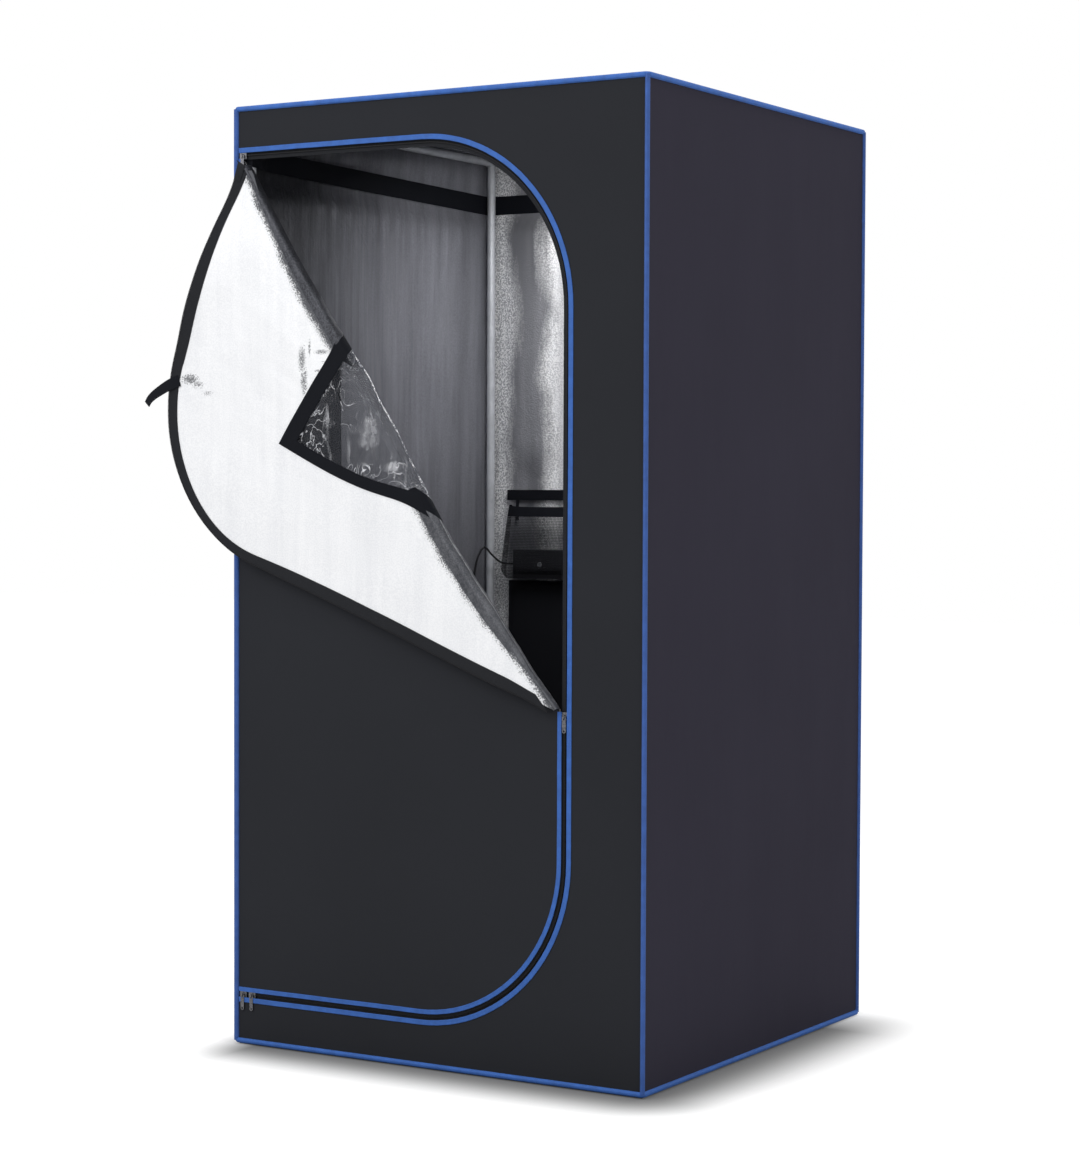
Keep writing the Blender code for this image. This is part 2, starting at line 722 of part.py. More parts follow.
def rail_mesh(length):
    """A rail along +X with the corner joint at its start: spigots along +Y and +Z for its neighbours."""
    core = box_mesh([-TUBE_RADIUS] * 3, [TUBE_RADIUS] * 3)
    stub, inner = TUBE_RADIUS - JOINT_INSET, TUBE_RADIUS - TUBE_WALL
    far = length - JOINT_STUB - TOUCH
    profile = [(0, JOINT_STUB), (inner, JOINT_STUB), (inner, far), (TUBE_RADIUS, far)]
    profile += [(TUBE_RADIUS, JOINT_STUB), (stub, JOINT_STUB), (stub, JOINT_START), (0, JOINT_START)]
    tube = turned_mesh(profile, TUBE_SIDES, Matrix.Rotation(math.radians(90), 4, "Y"))
    arm = moved_mesh(joint_arm(RAIL_SPIGOT), Matrix.Rotation(math.radians(-90), 4, "X"))
    pieces = [core, joint_arm(POST_SPIGOT), arm, tube]
    facing = Vector((1, 1, 0)).normalized().to_track_quat("Z", "Y").to_matrix().to_4x4()
    for height in (BUTTON_FROM_JOINT, BUTTON_FROM_JOINT + BUTTON_PITCH):
        place = Matrix.Translation((0, 0, height)) @ facing
        pieces.append(rod_mesh(BUTTON_RADIUS, TUBE_RADIUS + BUTTON_PROUD, BUTTON_SIDES, place))
    return joined(pieces)


def build_frame():
    sides = (("front", -1, -1, 0), ("right", 1, -1, 90), ("back", 1, 1, 180), ("left", -1, 1, 270))
    lengths = {"front": 2 * FRAME_X, "back": 2 * FRAME_X, "right": 2 * FRAME_Y, "left": 2 * FRAME_Y}
    for words, z, up in (("bottom", FRAME_LOW, 1), ("top", FRAME_HIGH, -1)):
        for side, sx, sy, degrees in sides:
            turn = Matrix.Rotation(math.radians(degrees), 4, "Z") @ Matrix.Scale(up, 4, (0, 0, 1))
            place = Matrix.Translation((sx * FRAME_X, sy * FRAME_Y, z)) @ turn
            add(f"rail_{words}_{side}", shade_round(moved_mesh(rail_mesh(lengths[side]), place)), STEEL)
    build_uprights()


def build_uprights():
    """Four upright tubes over the joints' spigots, with holes for the spring buttons."""
    start = JOINT_STUB + TOUCH
    mesh = turned_mesh(tube_profile(FRAME_LOW + start, FRAME_HIGH - start), TUBE_SIDES)
    sideways = Matrix.Rotation(math.radians(90), 4, "Y")
    cutters = []
    for height in (BUTTON_FROM_JOINT, BUTTON_FROM_JOINT + BUTTON_PITCH):
        for z in (FRAME_LOW + height, FRAME_HIGH - height):
            place = Matrix.Translation((0, 0, z)) @ sideways
            cutters.append(rod_mesh(BUTTON_RADIUS + TOUCH, TUBE_RADIUS + OVERRUN, BUTTON_SIDES, place))
    mesh = combined(mesh, cutters, "DIFFERENCE")
    names = {(-1, -1): "front_left", (1, -1): "front_right", (-1, 1): "back_left", (1, 1): "back_right"}
    for (sx, sy), words in names.items():
        facing = Matrix.Rotation(math.atan2(-sy, -sx), 4, "Z")
        place = Matrix.Translation((sx * FRAME_X, sy * FRAME_Y, 0)) @ facing
        add(f"upright_{words}", shade_round(moved_mesh(mesh, place)), STEEL)


# Door


def hinge_empty():
    """The axis of the slanted fold: turned half a turn from the closed door."""
    empty = bpy.data.objects.new("fold_axis", None)
    PARTS.objects.link(empty)
    empty.location = (FOLD_TOP.x, FOLD_Y, FOLD_TOP.y)
    axis = Vector((FOLD_ALONG.x, 0, FOLD_ALONG.y))
    empty.rotation_mode = "QUATERNION"
    empty.rotation_quaternion = Matrix.Rotation(math.pi, 3, axis).to_quaternion()
    return empty


def zip_half(ribbon, outside, rise=None):
    """A tape with its coil, on the cover's side of the chain or on the door's."""
    sign = -1 if outside else 1
    coil_near = ZIP_INSET + sign * COIL_GAP / 2
    coil_far = coil_near + sign * COIL_WIDTH
    tape_near = coil_far - sign * COIL_LAP
    tape_far = coil_far + sign * TAPE_WIDTH
    extra = {} if rise is None else {"rise": rise}
    pieces = [
        ribbon(tape_near, tape_far, ZIP_Y - TAPE_THICK / 2, TAPE_THICK, **extra),
        ribbon(coil_near, coil_far, ZIP_Y - COIL_THICK / 2, COIL_THICK, **extra),
    ]
    return joined(pieces)


def build_door():
    hinge = hinge_empty()
    trim_front = FRONT - TOUCH - BINDING_THICK
    inset = 2 * ZIP_INSET
    half = DOOR_BINDING_WIDTH / 2
    border_y = LINING_BACK + TOUCH
    film_y = LINING_FRONT
    grow_film = -(WINDOW_BORDER - FILM_LAP)
    grow_lining = grow_film + TOUCH
    add("zip_frame_half", zip_half(fixed_ribbon, True), BLACK_WEB)
    for above, words, parent in ((False, "panel", None), (True, "flap", hinge)):
        cloth = sheet_mesh([door_outline(inset, above, -WINDOW_BORDER)], FRONT, CLOTH)
        add(f"door_{words}", cloth, BLACK_CLOTH, parent)
        lining = sheet_mesh([door_outline(inset, above, grow_lining)], LINING_FRONT, LINING)
        add(f"door_{words}_lining", lining, WHITE_FILM, parent)
        ribbon = flap_ribbon if above else panel_ribbon
        tape = ribbon(inset - half, inset + half, trim_front, BINDING_THICK)
        add(f"door_{words}_binding", tape, BLUE_TAPE, parent)
        zip_mesh = zip_half(ribbon, False, ZIP_START if above else None)
        add(f"zip_{words}_half", zip_mesh, BLACK_WEB, parent)
        film = sheet_mesh([[tuple(p) for p in window_part(grow_film, above)]], film_y, FILM_THICK)
        add(f"window_film_{words}", film, CLEAR_FILM, parent)
        ring = sheet_mesh([window_ring(0.0, -WINDOW_BORDER, above)], border_y, BORDER_THICK)
        add(f"window_border_{words}", ring, BLACK_WEB, parent)
    build_strap(hinge)
    build_roll()


def build_strap(hinge):
    """The black tie strap: sewn behind the tape, out past the door's edge, then hanging down."""
    turn, reach = math.radians(STRAP_TURN), DOOR_RADIUS - STRAP_INSET
    centre_x, centre_z = DOOR_RIGHT - DOOR_RADIUS, DOOR_TOP - DOOR_RADIUS
    x, z = mirrored(centre_x + reach * math.cos(turn), centre_z + reach * math.sin(turn))
    half = STRAP_WIDTH / 2
    out = x - STRAP_REACH
    folded = [(x + STRAP_HOLD, z - half), (x + STRAP_HOLD, z + half), (out, z + half)]
    folded += [(out - STRAP_LEAN, z), (out - STRAP_LEAN, z - STRAP_DROP)]
    folded += [(out, z - STRAP_DROP), (out + STRAP_LEAN / 2, z - half)]
    closed = [mirrored(*point) for point in folded]
    front = ZIP_Y + COIL_THICK / 2 + TOUCH
    add("tie_strap", sheet_mesh([closed], front, STRAP_THICK), BLACK_WEB, hinge)


def roll_piece(start, end):
    """A length of the rolled fold: a half tube with two short flat tails that lie on the cloth."""
    outer, inner = FOLD_RADIUS - TOUCH, FOLD_RADIUS - TOUCH - ROLL_THICK
    profile = [(ROLL_TAIL, outer)]
    for step in range(ROLL_STEPS + 1):
        angle = math.radians(90 + 180 * step / ROLL_STEPS)
        profile.append((outer * math.cos(angle), outer * math.sin(angle)))
    profile += [(ROLL_TAIL, -outer), (ROLL_TAIL, -inner)]
    for step in range(ROLL_STEPS + 1):
        angle = math.radians(270 - 180 * step / ROLL_STEPS)
        profile.append((inner * math.cos(angle), inner * math.sin(angle)))
    profile.append((ROLL_TAIL, inner))
    side = Vector((FOLD_SIDE.x, 0, FOLD_SIDE.y))
    along = Vector((FOLD_ALONG.x, 0, FOLD_ALONG.y))
    base = Vector((FOLD_TOP.x, FOLD_Y, FOLD_TOP.y)) + along * (start + end) / 2
    across = along.cross(side)
    place = Matrix.Identity(4)
    for row in range(3):
        place[row][0], place[row][1] = side[row], across[row]
        place[row][2], place[row][3] = along[row], base[row]
    return outline_mesh([profile], end - start, place)


def build_roll():
    end = (DOOR_RIGHT - 2 * ZIP_INSET - FOLD_TOP.x) / FOLD_ALONG.x - ROLL_END_IN
    add("door_fold_roll", shade_round(roll_piece(ROLL_START, end)), WHITE_FILM)


# Zip sliders


def slider_mesh(upright):
    """Two plates joined by a bridge between the coils, with rims that leave a slot for the tapes."""
    near = COIL_THICK / 2 + SLIDER_RUN
    far = near + SLIDER_PLATE
    wide, long = SLIDER_WIDTH / 2, SLIDER_LENGTH / 2
    rim_in = COIL_GAP / 2 + COIL_WIDTH + SLIDER_RUN
    rim_out = rim_in + SLIDER_RIM
    slot = SLIDER_SLOT / 2
    lap = SLIDER_PLATE / 2

    def block(across, deep, along):
        low = (across[0], deep[0], along[0])
        high = (across[1], deep[1], along[1])
        if not upright:
            low, high = (along[0], deep[0], across[0]), (along[1], deep[1], across[1])
        return box_mesh(low, high)

    bridge = (BRIDGE_WIDTH / 2, long - BRIDGE_LENGTH)
    pieces = [block((-wide, wide), (-far, -near), (-long, long))]
    pieces.append(block((-bridge[0], bridge[0]), (-near - lap, near + lap), (bridge[1], long - lap)))
    for side in (-1, 1):
        across = sorted((side * rim_in, side * rim_out))
        pieces.append(block(across, (-near - lap, -slot), (-long + lap, long - lap)))
    pieces.append(block((-wide, wide), (near, far), (-long, long)))
    for side in (-1, 1):
        across = sorted((side * rim_in, side * rim_out))
        pieces.append(block(across, (slot, near + lap), (-long + lap, long - lap)))
    crown, eye = CROWN_WIDTH / 2, CROWN_EYE / 2
    top = -far - CROWN_ROOM
    for side in (-1, 1):
        leg = sorted((side * eye, side * (eye + CROWN_WALL)))
        pieces.append(box_mesh((-crown, top - CROWN_WALL / 2, leg[0]), (crown, -far + lap, leg[1])))
    over = eye + CROWN_WALL
    pieces.append(box_mesh((-crown, top - CROWN_WALL, -over), (crown, top, over)))
    return joined(pieces)


def pull_axis():
    """Where the pull's bar lies in the slider's crown, from the slider's centre: (y, z)."""
    forward = -(ZIP_Y - FRONT) - TOUCH - BINDING_THICK - PULL_EDGE_FORWARD - PULL_THICK / 2
    bar = math.hypot(PULL_BAR, PULL_THICK) / 2
    return forward, -CROWN_EYE / 2 + TOUCH + bar


def pull_mesh():
    """A flat pull that hangs from its bar at the origin, with an eye above and a round hole below."""
    wide = PULL_WIDTH / 2
    round_z = -PULL_LENGTH + wide
    outline = [(-wide, PULL_BAR / 2), (-wide, round_z)]
    for step in range(1, 2 * PULL_ROUND_STEPS):
        angle = math.radians(180 + 90 * step / PULL_ROUND_STEPS)
        outline.append((wide * math.cos(angle), round_z + wide * math.sin(angle)))
    outline += [(wide, round_z), (wide, PULL_BAR / 2)]
    eye_wide, eye_high = PULL_EYE_WIDTH / 2, -PULL_BAR / 2
    eye_low = eye_high - PULL_EYE_LENGTH
    eye = [(-eye_wide, eye_high), (eye_wide, eye_high), (eye_wide, eye_low), (-eye_wide, eye_low)]
    hole = []
    for step in range(2 * PULL_ROUND_STEPS):
        angle = math.pi * step / PULL_ROUND_STEPS
        hole.append((PULL_HOLE_RADIUS * math.cos(angle), round_z + PULL_HOLE_RADIUS * math.sin(angle)))
    return sheet_mesh([outline, eye, hole], -PULL_THICK / 2, PULL_THICK)


def build_sliders():
    shapes = {True: slider_mesh(True), False: slider_mesh(False)}
    pull = pull_mesh()
    forward, drop = pull_axis()
    chain_x = DOOR_RIGHT - ZIP_INSET
    top_z, bottom_z = DOOR_TOP - ZIP_INSET, DOOR_BOTTOM + ZIP_INSET
    places = {
        "side": (chain_x, FOLD_LOW.y - SIDE_SLIDER_DROP, True),
        "top": (LEFT + END_SLIDER_IN, top_z, False),
        "bottom_left": (LEFT + END_SLIDER_IN, bottom_z, False),
        "bottom_right": (LEFT + END_SLIDER_IN + BOTTOM_SLIDER_PITCH, bottom_z, False),
    }
    for words, (x, z, upright) in places.items():
        slider = add(f"slider_{words}", shapes[upright].copy(), NICKEL)
        slider.location = (x, ZIP_Y, z)
        tab = add(f"pull_{words}", pull.copy(), NICKEL)
        tab.location = (x, ZIP_Y + forward, z + drop)


# Heating panels and controller


def build_panels():
    """A heating panel on each closed wall: the sheet inside its sewn pouch, as one padded slab."""
    for wall, place in wall_places().items():
        back = wall_crest(wall)
        half = (DEPTH if wall != "back" else WIDTH) / 2 - PANEL_SIDE_IN
        pouch = box_mesh((-half, back, PANEL_BOTTOM), (half, back + PANEL_THICK, PANEL_TOP))
        add(f"heating_panel_{wall}", moved_mesh(pouch, place), PANEL_CLOTH)


def strip_outline():
    half, high = WIDTH / 2 - STRIP_SIDE_IN, STRIP_LOW + STRIP_WIDTH
    outline = [(-half, STRIP_LOW), (-half, high), (half, high), (half, STRIP_LOW)]
    reach = POCKET_TOP_WIDTH / 2 - STRIP_TAB_WIDTH
    for centre in (POCKET_X + reach, POCKET_X - reach):
        right, left = centre + STRIP_TAB_WIDTH / 2, centre - STRIP_TAB_WIDTH / 2
        outline += [(right, STRIP_LOW), (right, STRIP_TAB_END), (left, STRIP_TAB_END), (left, STRIP_LOW)]
    return outline


def build_pocket():
    strip_back = -FRONT - wall_crest("back")
    strip = sheet_mesh([strip_outline()], strip_back - STRIP_THICK, STRIP_THICK)
    add("hanging_strip", strip, BLACK_WEB)
    back = strip_back - STRIP_THICK - TOUCH
    bag = bmesh.new()
    bmesh.ops.create_cube(bag, size=1.0)
    for vert in bag.verts:
        wide = POCKET_TOP_WIDTH if vert.co.z > 0 else POCKET_WIDTH
        high = POCKET_LOW + (POCKET_HEIGHT if vert.co.z > 0 else 0.0)
        vert.co = (POCKET_X + vert.co.x * wide, back - POCKET_DEPTH * (0.5 - vert.co.y), high)
    top = [face for face in bag.faces if face.normal.z > 0.9]
    bmesh.ops.delete(bag, geom=top, context="FACES_ONLY")
    mesh = bpy.data.meshes.new("bag")
    bag.to_mesh(mesh)
    bag.free()
    obj = scratch(mesh)
    wall = obj.modifiers.new("wall", "SOLIDIFY")
    wall.thickness = POCKET_WALL
    wall.offset = -1.0
    wall.use_even_offset = True
    mesh = baked(obj)
    reach = POCKET_WIDTH + 2 * OVERRUN
    sideways = Matrix.Rotation(math.radians(90), 4, "Y")
    port_y = gland_depth(back) - PORT_FORWARD
    port = Matrix.Translation((POCKET_X - reach / 2, port_y, case_z())) @ sideways
    mesh = combined(mesh, [rod_mesh(PORT_RADIUS, reach, KEY_SIDES, port)], "DIFFERENCE")
    add("controller_pocket", mesh, MESH_CLOTH)
    return back


def case_z():
    return POCKET_LOW + POCKET_WALL + TOUCH + CASE_HEIGHT / 2


def gland_depth(pocket_back):
    """The leads enter the case halfway through its back shell."""
    return pocket_back - POCKET_WALL - TOUCH - CASE_DEPTH / 4


def shell_mesh(front, back, open_front):
    """Half of the controller's case: a shallow tray between two depths, open towards the other half."""
    x, z = CASE_LENGTH / 2, CASE_HEIGHT / 2
    tray = box_mesh((POCKET_X - x, front, case_z() - z), (POCKET_X + x, back, case_z() + z))
    inner_x, inner_z = x - CASE_WALL, z - CASE_WALL
    low_y = front - OVERRUN if open_front else front + CASE_WALL
    high_y = back - CASE_WALL if open_front else back + OVERRUN
    hollow = box_mesh(
        (POCKET_X - inner_x, low_y, case_z() - inner_z), (POCKET_X + inner_x, high_y, case_z() + inner_z)
    )
    return combined(tray, [hollow], "DIFFERENCE")


def build_controller(pocket_back):
    """The case lies on the pocket's bottom against its back, with its keys facing the door."""
    back = pocket_back - POCKET_WALL - TOUCH
    front = back - CASE_DEPTH
    split = (front + back) / 2
    forward = Matrix.Rotation(math.radians(90), 4, "X")
    wall_back = front + CASE_WALL
    board_front = wall_back + TOUCH + KEY_FLANGE_THICK + KEY_TRAVEL + TOUCH
    seat = Matrix.Translation((POCKET_X, wall_back + OVERRUN, case_z())) @ forward
    hole = rod_mesh(KEY_RADIUS + KEY_RUN, CASE_WALL + 2 * OVERRUN, KEY_SIDES, seat)
    flange, deep = KEY_RADIUS + KEY_FLANGE, TOUCH + KEY_FLANGE_THICK
    proud = CASE_WALL + KEY_PROUD
    profile = [(0, proud), (KEY_RADIUS, proud), (KEY_RADIUS, -TOUCH), (flange, -TOUCH)]
    profile += [(flange, -deep), (0, -deep)]
    key = add("power_button", shade_round(turned_mesh(profile, KEY_SIDES, forward)), KEY_PLASTIC)
    key.location = (POCKET_X, wall_back, case_z())
    shell = combined(shell_mesh(front, split - TOUCH, False), [hole], "DIFFERENCE")
    add("controller_front_shell", shell, CASE_PLASTIC)
    glands = [shell_mesh(split, back, True)]
    gland_y = gland_depth(pocket_back)
    for start, _ in gland_ends(gland_y):
        glands.append(rod_mesh(GLAND_RADIUS, GLAND_LENGTH + CASE_WALL / 2, KEY_SIDES // 2, start))
    add("controller_back_shell", joined(glands), CASE_PLASTIC)
    x, z = CASE_LENGTH / 2 - CASE_WALL - TOUCH, CASE_HEIGHT / 2 - CASE_WALL - TOUCH
    board = box_mesh(
        (POCKET_X - x, board_front, case_z() - z), (POCKET_X + x, board_front + BOARD_THICK, case_z() + z)
    )
    add("controller_board", board, BOARD_GREEN)
    return gland_y


def gland_ends(gland_y):
    """Each gland's place on the case, pointing outwards, and the point where its lead starts."""
    side = CASE_LENGTH / 2 - CASE_WALL / 2
    reach = CASE_LENGTH / 2 + GLAND_LENGTH + TOUCH
    for sign, rise in ((-1, 0.0), (1, GLAND_LENGTH), (1, -GLAND_LENGTH)):
        turn = Matrix.Rotation(math.radians(90 * sign), 4, "Y")
        z = case_z() + rise
        yield (
            Matrix.Translation((POCKET_X + sign * side, gland_y, z)) @ turn,
            Vector((POCKET_X + sign * reach, gland_y, z)),
        )


def smooth_route(points):
    """Points every step along a smooth curve through the route's own points."""
    spots = [Vector(p) for p in points]
    ends = [2 * spots[0] - spots[1]] + spots + [2 * spots[-1] - spots[-2]]
    found = [spots[0]]
    for before, start, end, after in zip(ends, ends[1:], ends[2:], ends[3:]):
        pieces = max(1, round((end - start).length / LEAD_STEP))
        for piece in range(1, pieces + 1):
            t = piece / pieces
            pull = (2 * before - 5 * start + 4 * end - after) * t * t
            turn = (-before + 3 * start - 3 * end + after) * t * t * t
            found.append((2 * start + (end - before) * t + pull + turn) / 2)
    return found


def build_leads(gland_y):
    """A lead from the top of each heating panel to the controller, as steps from the things it passes."""
    (_, left_end), (_, back_end), (_, right_end) = gland_ends(gland_y)
    left_x, wall_y, right_x = (
        span / 2 - wall_crest(wall) - PANEL_THICK / 2
        for wall, span in (("left", WIDTH), ("back", DEPTH), ("right", WIDTH))
    )
    low = PANEL_TOP + TOUCH
    out = Vector((LEAD_LIFT, 0, 0))
    lift = Vector((0, 0, LEAD_LIFT))
    left_start = Vector((-left_x, gland_y - LEAD_SET_FORWARD, low))
    left = [left_start, left_start + lift] + [left_end + Vector(step) for step in LEFT_LEAD_STEPS]
    back_start = Vector((back_end.x + BACK_LEAD_SIDE, wall_y, low))
    back = [back_start, back_start + lift] + [back_end + Vector(step) for step in BACK_LEAD_STEPS]
    right_start = Vector((right_x, gland_y - LEAD_SET_FORWARD, low))
    corner, along = right_start + Vector(RIGHT_LEAD_CORNER), right_end + Vector(RIGHT_LEAD_ALONG)
    right = [right_start, right_start + lift, right_start + Vector(RIGHT_LEAD_DROP), corner]
    right += [corner.lerp(along, 0.5), along, right_end + Vector(RIGHT_LEAD_TURN)]
    ends = (("left", left, left_end, -out), ("back", back, back_end, out), ("right", right, right_end, out))
    for words, route, end, away in ends:
        route = smooth_route(route + [end + away, end + away / 2, end])
        add(f"lead_{words}", shade_round(tube_mesh(route, LEAD_RADIUS)), CABLE_BLACK)


def build_outlet():
    """The mains lead's way out: a sleeve through the back wall and its lining, flanged outside."""
    bore, sleeve = OUTLET_RADIUS, OUTLET_RADIUS + OUTLET_WALL
    flange = sleeve + OUTLET_FLANGE
    outside = TOUCH + OUTLET_FLANGE_THICK
    profile = [(flange, outside), (flange, TOUCH), (sleeve, TOUCH), (sleeve, -OUTLET_DEPTH)]
    profile += [(bore, -OUTLET_DEPTH), (bore, outside)]
    place = Matrix.Translation((OUTLET_X, DEPTH / 2, OUTLET_Z)) @ Matrix.Rotation(math.radians(-90), 4, "X")
    add("cable_outlet", shade_round(turned_mesh(profile, OUTLET_SIDES, place)), CASE_PLASTIC)


build_cover()
build_bindings()
build_lining()
build_frame()
build_door()
build_sliders()
build_panels()
build_leads(build_controller(build_pocket()))
build_outlet()
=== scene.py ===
"""Looks of the portable infrared sauna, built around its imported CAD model."""

import math

import bmesh
import bpy
import numpy as np
from mathutils import Matrix, Vector
from mathutils.geometry import delaunay_2d_cdt
from mathutils.kdtree import KDTree


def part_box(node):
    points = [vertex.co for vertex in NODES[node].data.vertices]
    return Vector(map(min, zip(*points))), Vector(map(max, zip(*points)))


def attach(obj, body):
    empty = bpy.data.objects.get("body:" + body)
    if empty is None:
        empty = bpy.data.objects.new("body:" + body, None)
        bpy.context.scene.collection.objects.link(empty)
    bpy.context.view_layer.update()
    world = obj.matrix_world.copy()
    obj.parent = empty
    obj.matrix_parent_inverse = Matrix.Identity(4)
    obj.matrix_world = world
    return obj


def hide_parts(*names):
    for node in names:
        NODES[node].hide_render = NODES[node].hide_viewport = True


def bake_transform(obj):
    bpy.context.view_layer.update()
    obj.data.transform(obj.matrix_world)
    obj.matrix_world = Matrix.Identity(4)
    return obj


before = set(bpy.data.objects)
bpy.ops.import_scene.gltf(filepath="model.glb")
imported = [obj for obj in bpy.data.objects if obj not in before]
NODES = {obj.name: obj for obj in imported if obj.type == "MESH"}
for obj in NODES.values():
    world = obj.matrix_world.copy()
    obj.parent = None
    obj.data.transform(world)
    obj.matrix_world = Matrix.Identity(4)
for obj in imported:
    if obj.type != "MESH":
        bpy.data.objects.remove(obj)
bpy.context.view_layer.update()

# The CAD's own sizes, in metres
HALF, HEIGHT = 0.400, 1.600
TOUCH, CLOTH, LINING = 0.0003, 0.0012, 0.0008
FRONT = -HALF
TRIM = 0.0053
DOOR_RIGHT, DOOR_BOTTOM, DOOR_TOP, DOOR_RADIUS = 0.264, 0.077, 1.530, 0.285
DOOR_LEFT = -HALF + TRIM + TOUCH
EDGE_TAPE = 0.018
ZIP_INSET = 0.009
ZIP_Y = FRONT + CLOTH + TOUCH + LINING + TOUCH + 0.0003
WINDOW = (-0.206, 0.036, 0.860, 1.264)
BORDER = 0.025
FOLD_TOP, FOLD_LOW = Vector((-0.385, 1.513)), Vector((0.247, 0.605))
FOLD_ALONG = (FOLD_LOW - FOLD_TOP).normalized()
FOLD_SIDE = Vector((FOLD_ALONG.y, -FOLD_ALONG.x))
FOLD_RADIUS = 0.007
FOLD_Y = FRONT - FOLD_RADIUS
TIP_DROP = 0.0205
BAND_LOW, BAND_WIDTH = 1.493, 0.028

# Where the window's border crosses the fold, along it, and how far its upper corner lies from the fold
CROSS_HIGH, CROSS_LOW = 0.386, 0.713
WINDOW_FAR = 0.2033

ZIP_PITCH = 0.0022


def set_camera():
    """The camera at the photograph's place."""
    data = bpy.data.cameras.new("camera")
    data.sensor_width = 36.0
    data.lens = 83.33
    data.clip_end = 60.0
    camera = bpy.data.objects.new("camera", data)
    bpy.context.scene.collection.objects.link(camera)
    yaw, pitch, roll = (math.radians(v) for v in (31.34, -2.07, 0.22))
    ahead = Vector((-math.sin(yaw) * math.cos(pitch), math.cos(yaw) * math.cos(pitch), math.sin(pitch)))
    right = Vector((math.cos(yaw), math.sin(yaw), 0.0))
    up = right.cross(ahead)
    right, up = right * math.cos(roll) + up * math.sin(roll), up * math.cos(roll) - right * math.sin(roll)
    turn = Matrix((right, up, -ahead)).transposed()
    camera.matrix_world = Matrix.Translation((2.451, -4.083, 0.961)) @ turn.to_4x4()
    bpy.context.scene.camera = camera


set_camera()


# Materials

class Signal:
    """A number that varies over a surface; arithmetic on it adds math nodes."""

    def __init__(self, look, socket):
        self.look, self.socket = look, socket

    def __add__(self, other):
        return self.look.calc("ADD", self, other)

    def __sub__(self, other):
        return self.look.calc("SUBTRACT", self, other)

    def __rsub__(self, other):
        return self.look.calc("SUBTRACT", other, self)

    def __mul__(self, other):
        return self.look.calc("MULTIPLY", self, other)

    def __truediv__(self, other):
        return self.look.calc("DIVIDE", self, other)

    def spread(self, low, high, to_low=0.0, to_high=1.0, **ease):
        """The signal from low to high, clamped, on another scale."""
        values = {"Value": self, "From Min": low, "From Max": high, "To Min": to_low, "To Max": to_high}
        return self.look.node("ShaderNodeMapRange", values, "Result", **ease)


class Nodes:
    """A node tree with short calls for its nodes, their values and links."""

    def __init__(self, owner):
        owner.use_nodes = True
        self.tree = owner.node_tree

    def set(self, node, socket, value):
        if isinstance(value, Signal):
            value = value.socket
        if isinstance(value, bpy.types.NodeSocket):
            self.tree.links.new(value, node.inputs[socket])
        else:
            node.inputs[socket].default_value = value

    def node(self, kind, values, output, **attributes):
        made = self.tree.nodes.new(kind)
        for key, value in attributes.items():
            setattr(made, key, value)
        for key, value in values.items():
            self.set(made, key, value)
        return Signal(self, made.outputs[output])

    def calc(self, operation, *values):
        return self.node("ShaderNodeMath", dict(enumerate(values)), 0, operation=operation)


class Look(Nodes):
    """A node material with short calls for what every surface here needs."""

    def __init__(self, name, colour, roughness=0.6, metallic=0.0, specular=None):
        self.mat = bpy.data.materials.new(name)
        super().__init__(self.mat)
        self.shader = self.tree.nodes["Principled BSDF"]
        self.base((*colour, 1.0))
        self.rough(roughness)
        self.shade("Metallic", metallic)
        if specular is not None:
            self.shade("Specular IOR Level", specular)
        self.where = self.tree.nodes.new("ShaderNodeTexCoord").outputs["Object"]
        self.height = None

    def shade(self, socket, value):
        self.set(self.shader, socket, value)

    def base(self, value):
        self.shade("Base Color", value)

    def rough(self, value):
        self.shade("Roughness", value)

    def noise(self, scale, detail=3.0, rough=0.5, stretch=None, turn=(0, 0, 0), distortion=0.0):
        where = self.where
        if stretch is not None:
            where = self.node("ShaderNodeMapping", {"Vector": where, "Scale": stretch, "Rotation": turn}, "Vector")
        values = {
            "Vector": where, "Scale": scale, "Detail": detail, "Roughness": rough, "Distortion": distortion,
        }
        return self.node("ShaderNodeTexNoise", values, "Fac")

    def wave(self, pitch, direction="X", distortion=0.0):
        values = {"Vector": self.where, "Scale": 2 * math.pi / (20 * pitch), "Distortion": distortion}
        return self.node("ShaderNodeTexWave", values, "Fac", bands_direction=direction)

    def axes(self):
        """The surface point's own x, y and z."""
        parts = self.tree.nodes.new("ShaderNodeSeparateXYZ")
        self.set(parts, "Vector", self.where)
        return [Signal(self, parts.outputs[axis]) for axis in "XYZ"]

    def blend(self, share, a, b):
        node = self.tree.nodes.new("ShaderNodeMix")
        node.data_type = "RGBA"
        for index, value in ((0, share), (6, a), (7, b)):
            self.set(node, index, (*value, 1.0) if isinstance(value, tuple) else value)
        return node.outputs[2]

    def bump(self, height, distance, strength=1.0):
        values = {"Height": height, "Distance": distance, "Strength": strength}
        if self.height is not None:
            values["Normal"] = self.height
        self.height = self.node("ShaderNodeBump", values, "Normal")
        self.shade("Normal", self.height)


def tint(colour, factor):
    return tuple(min(1.0, value * factor) for value in colour)


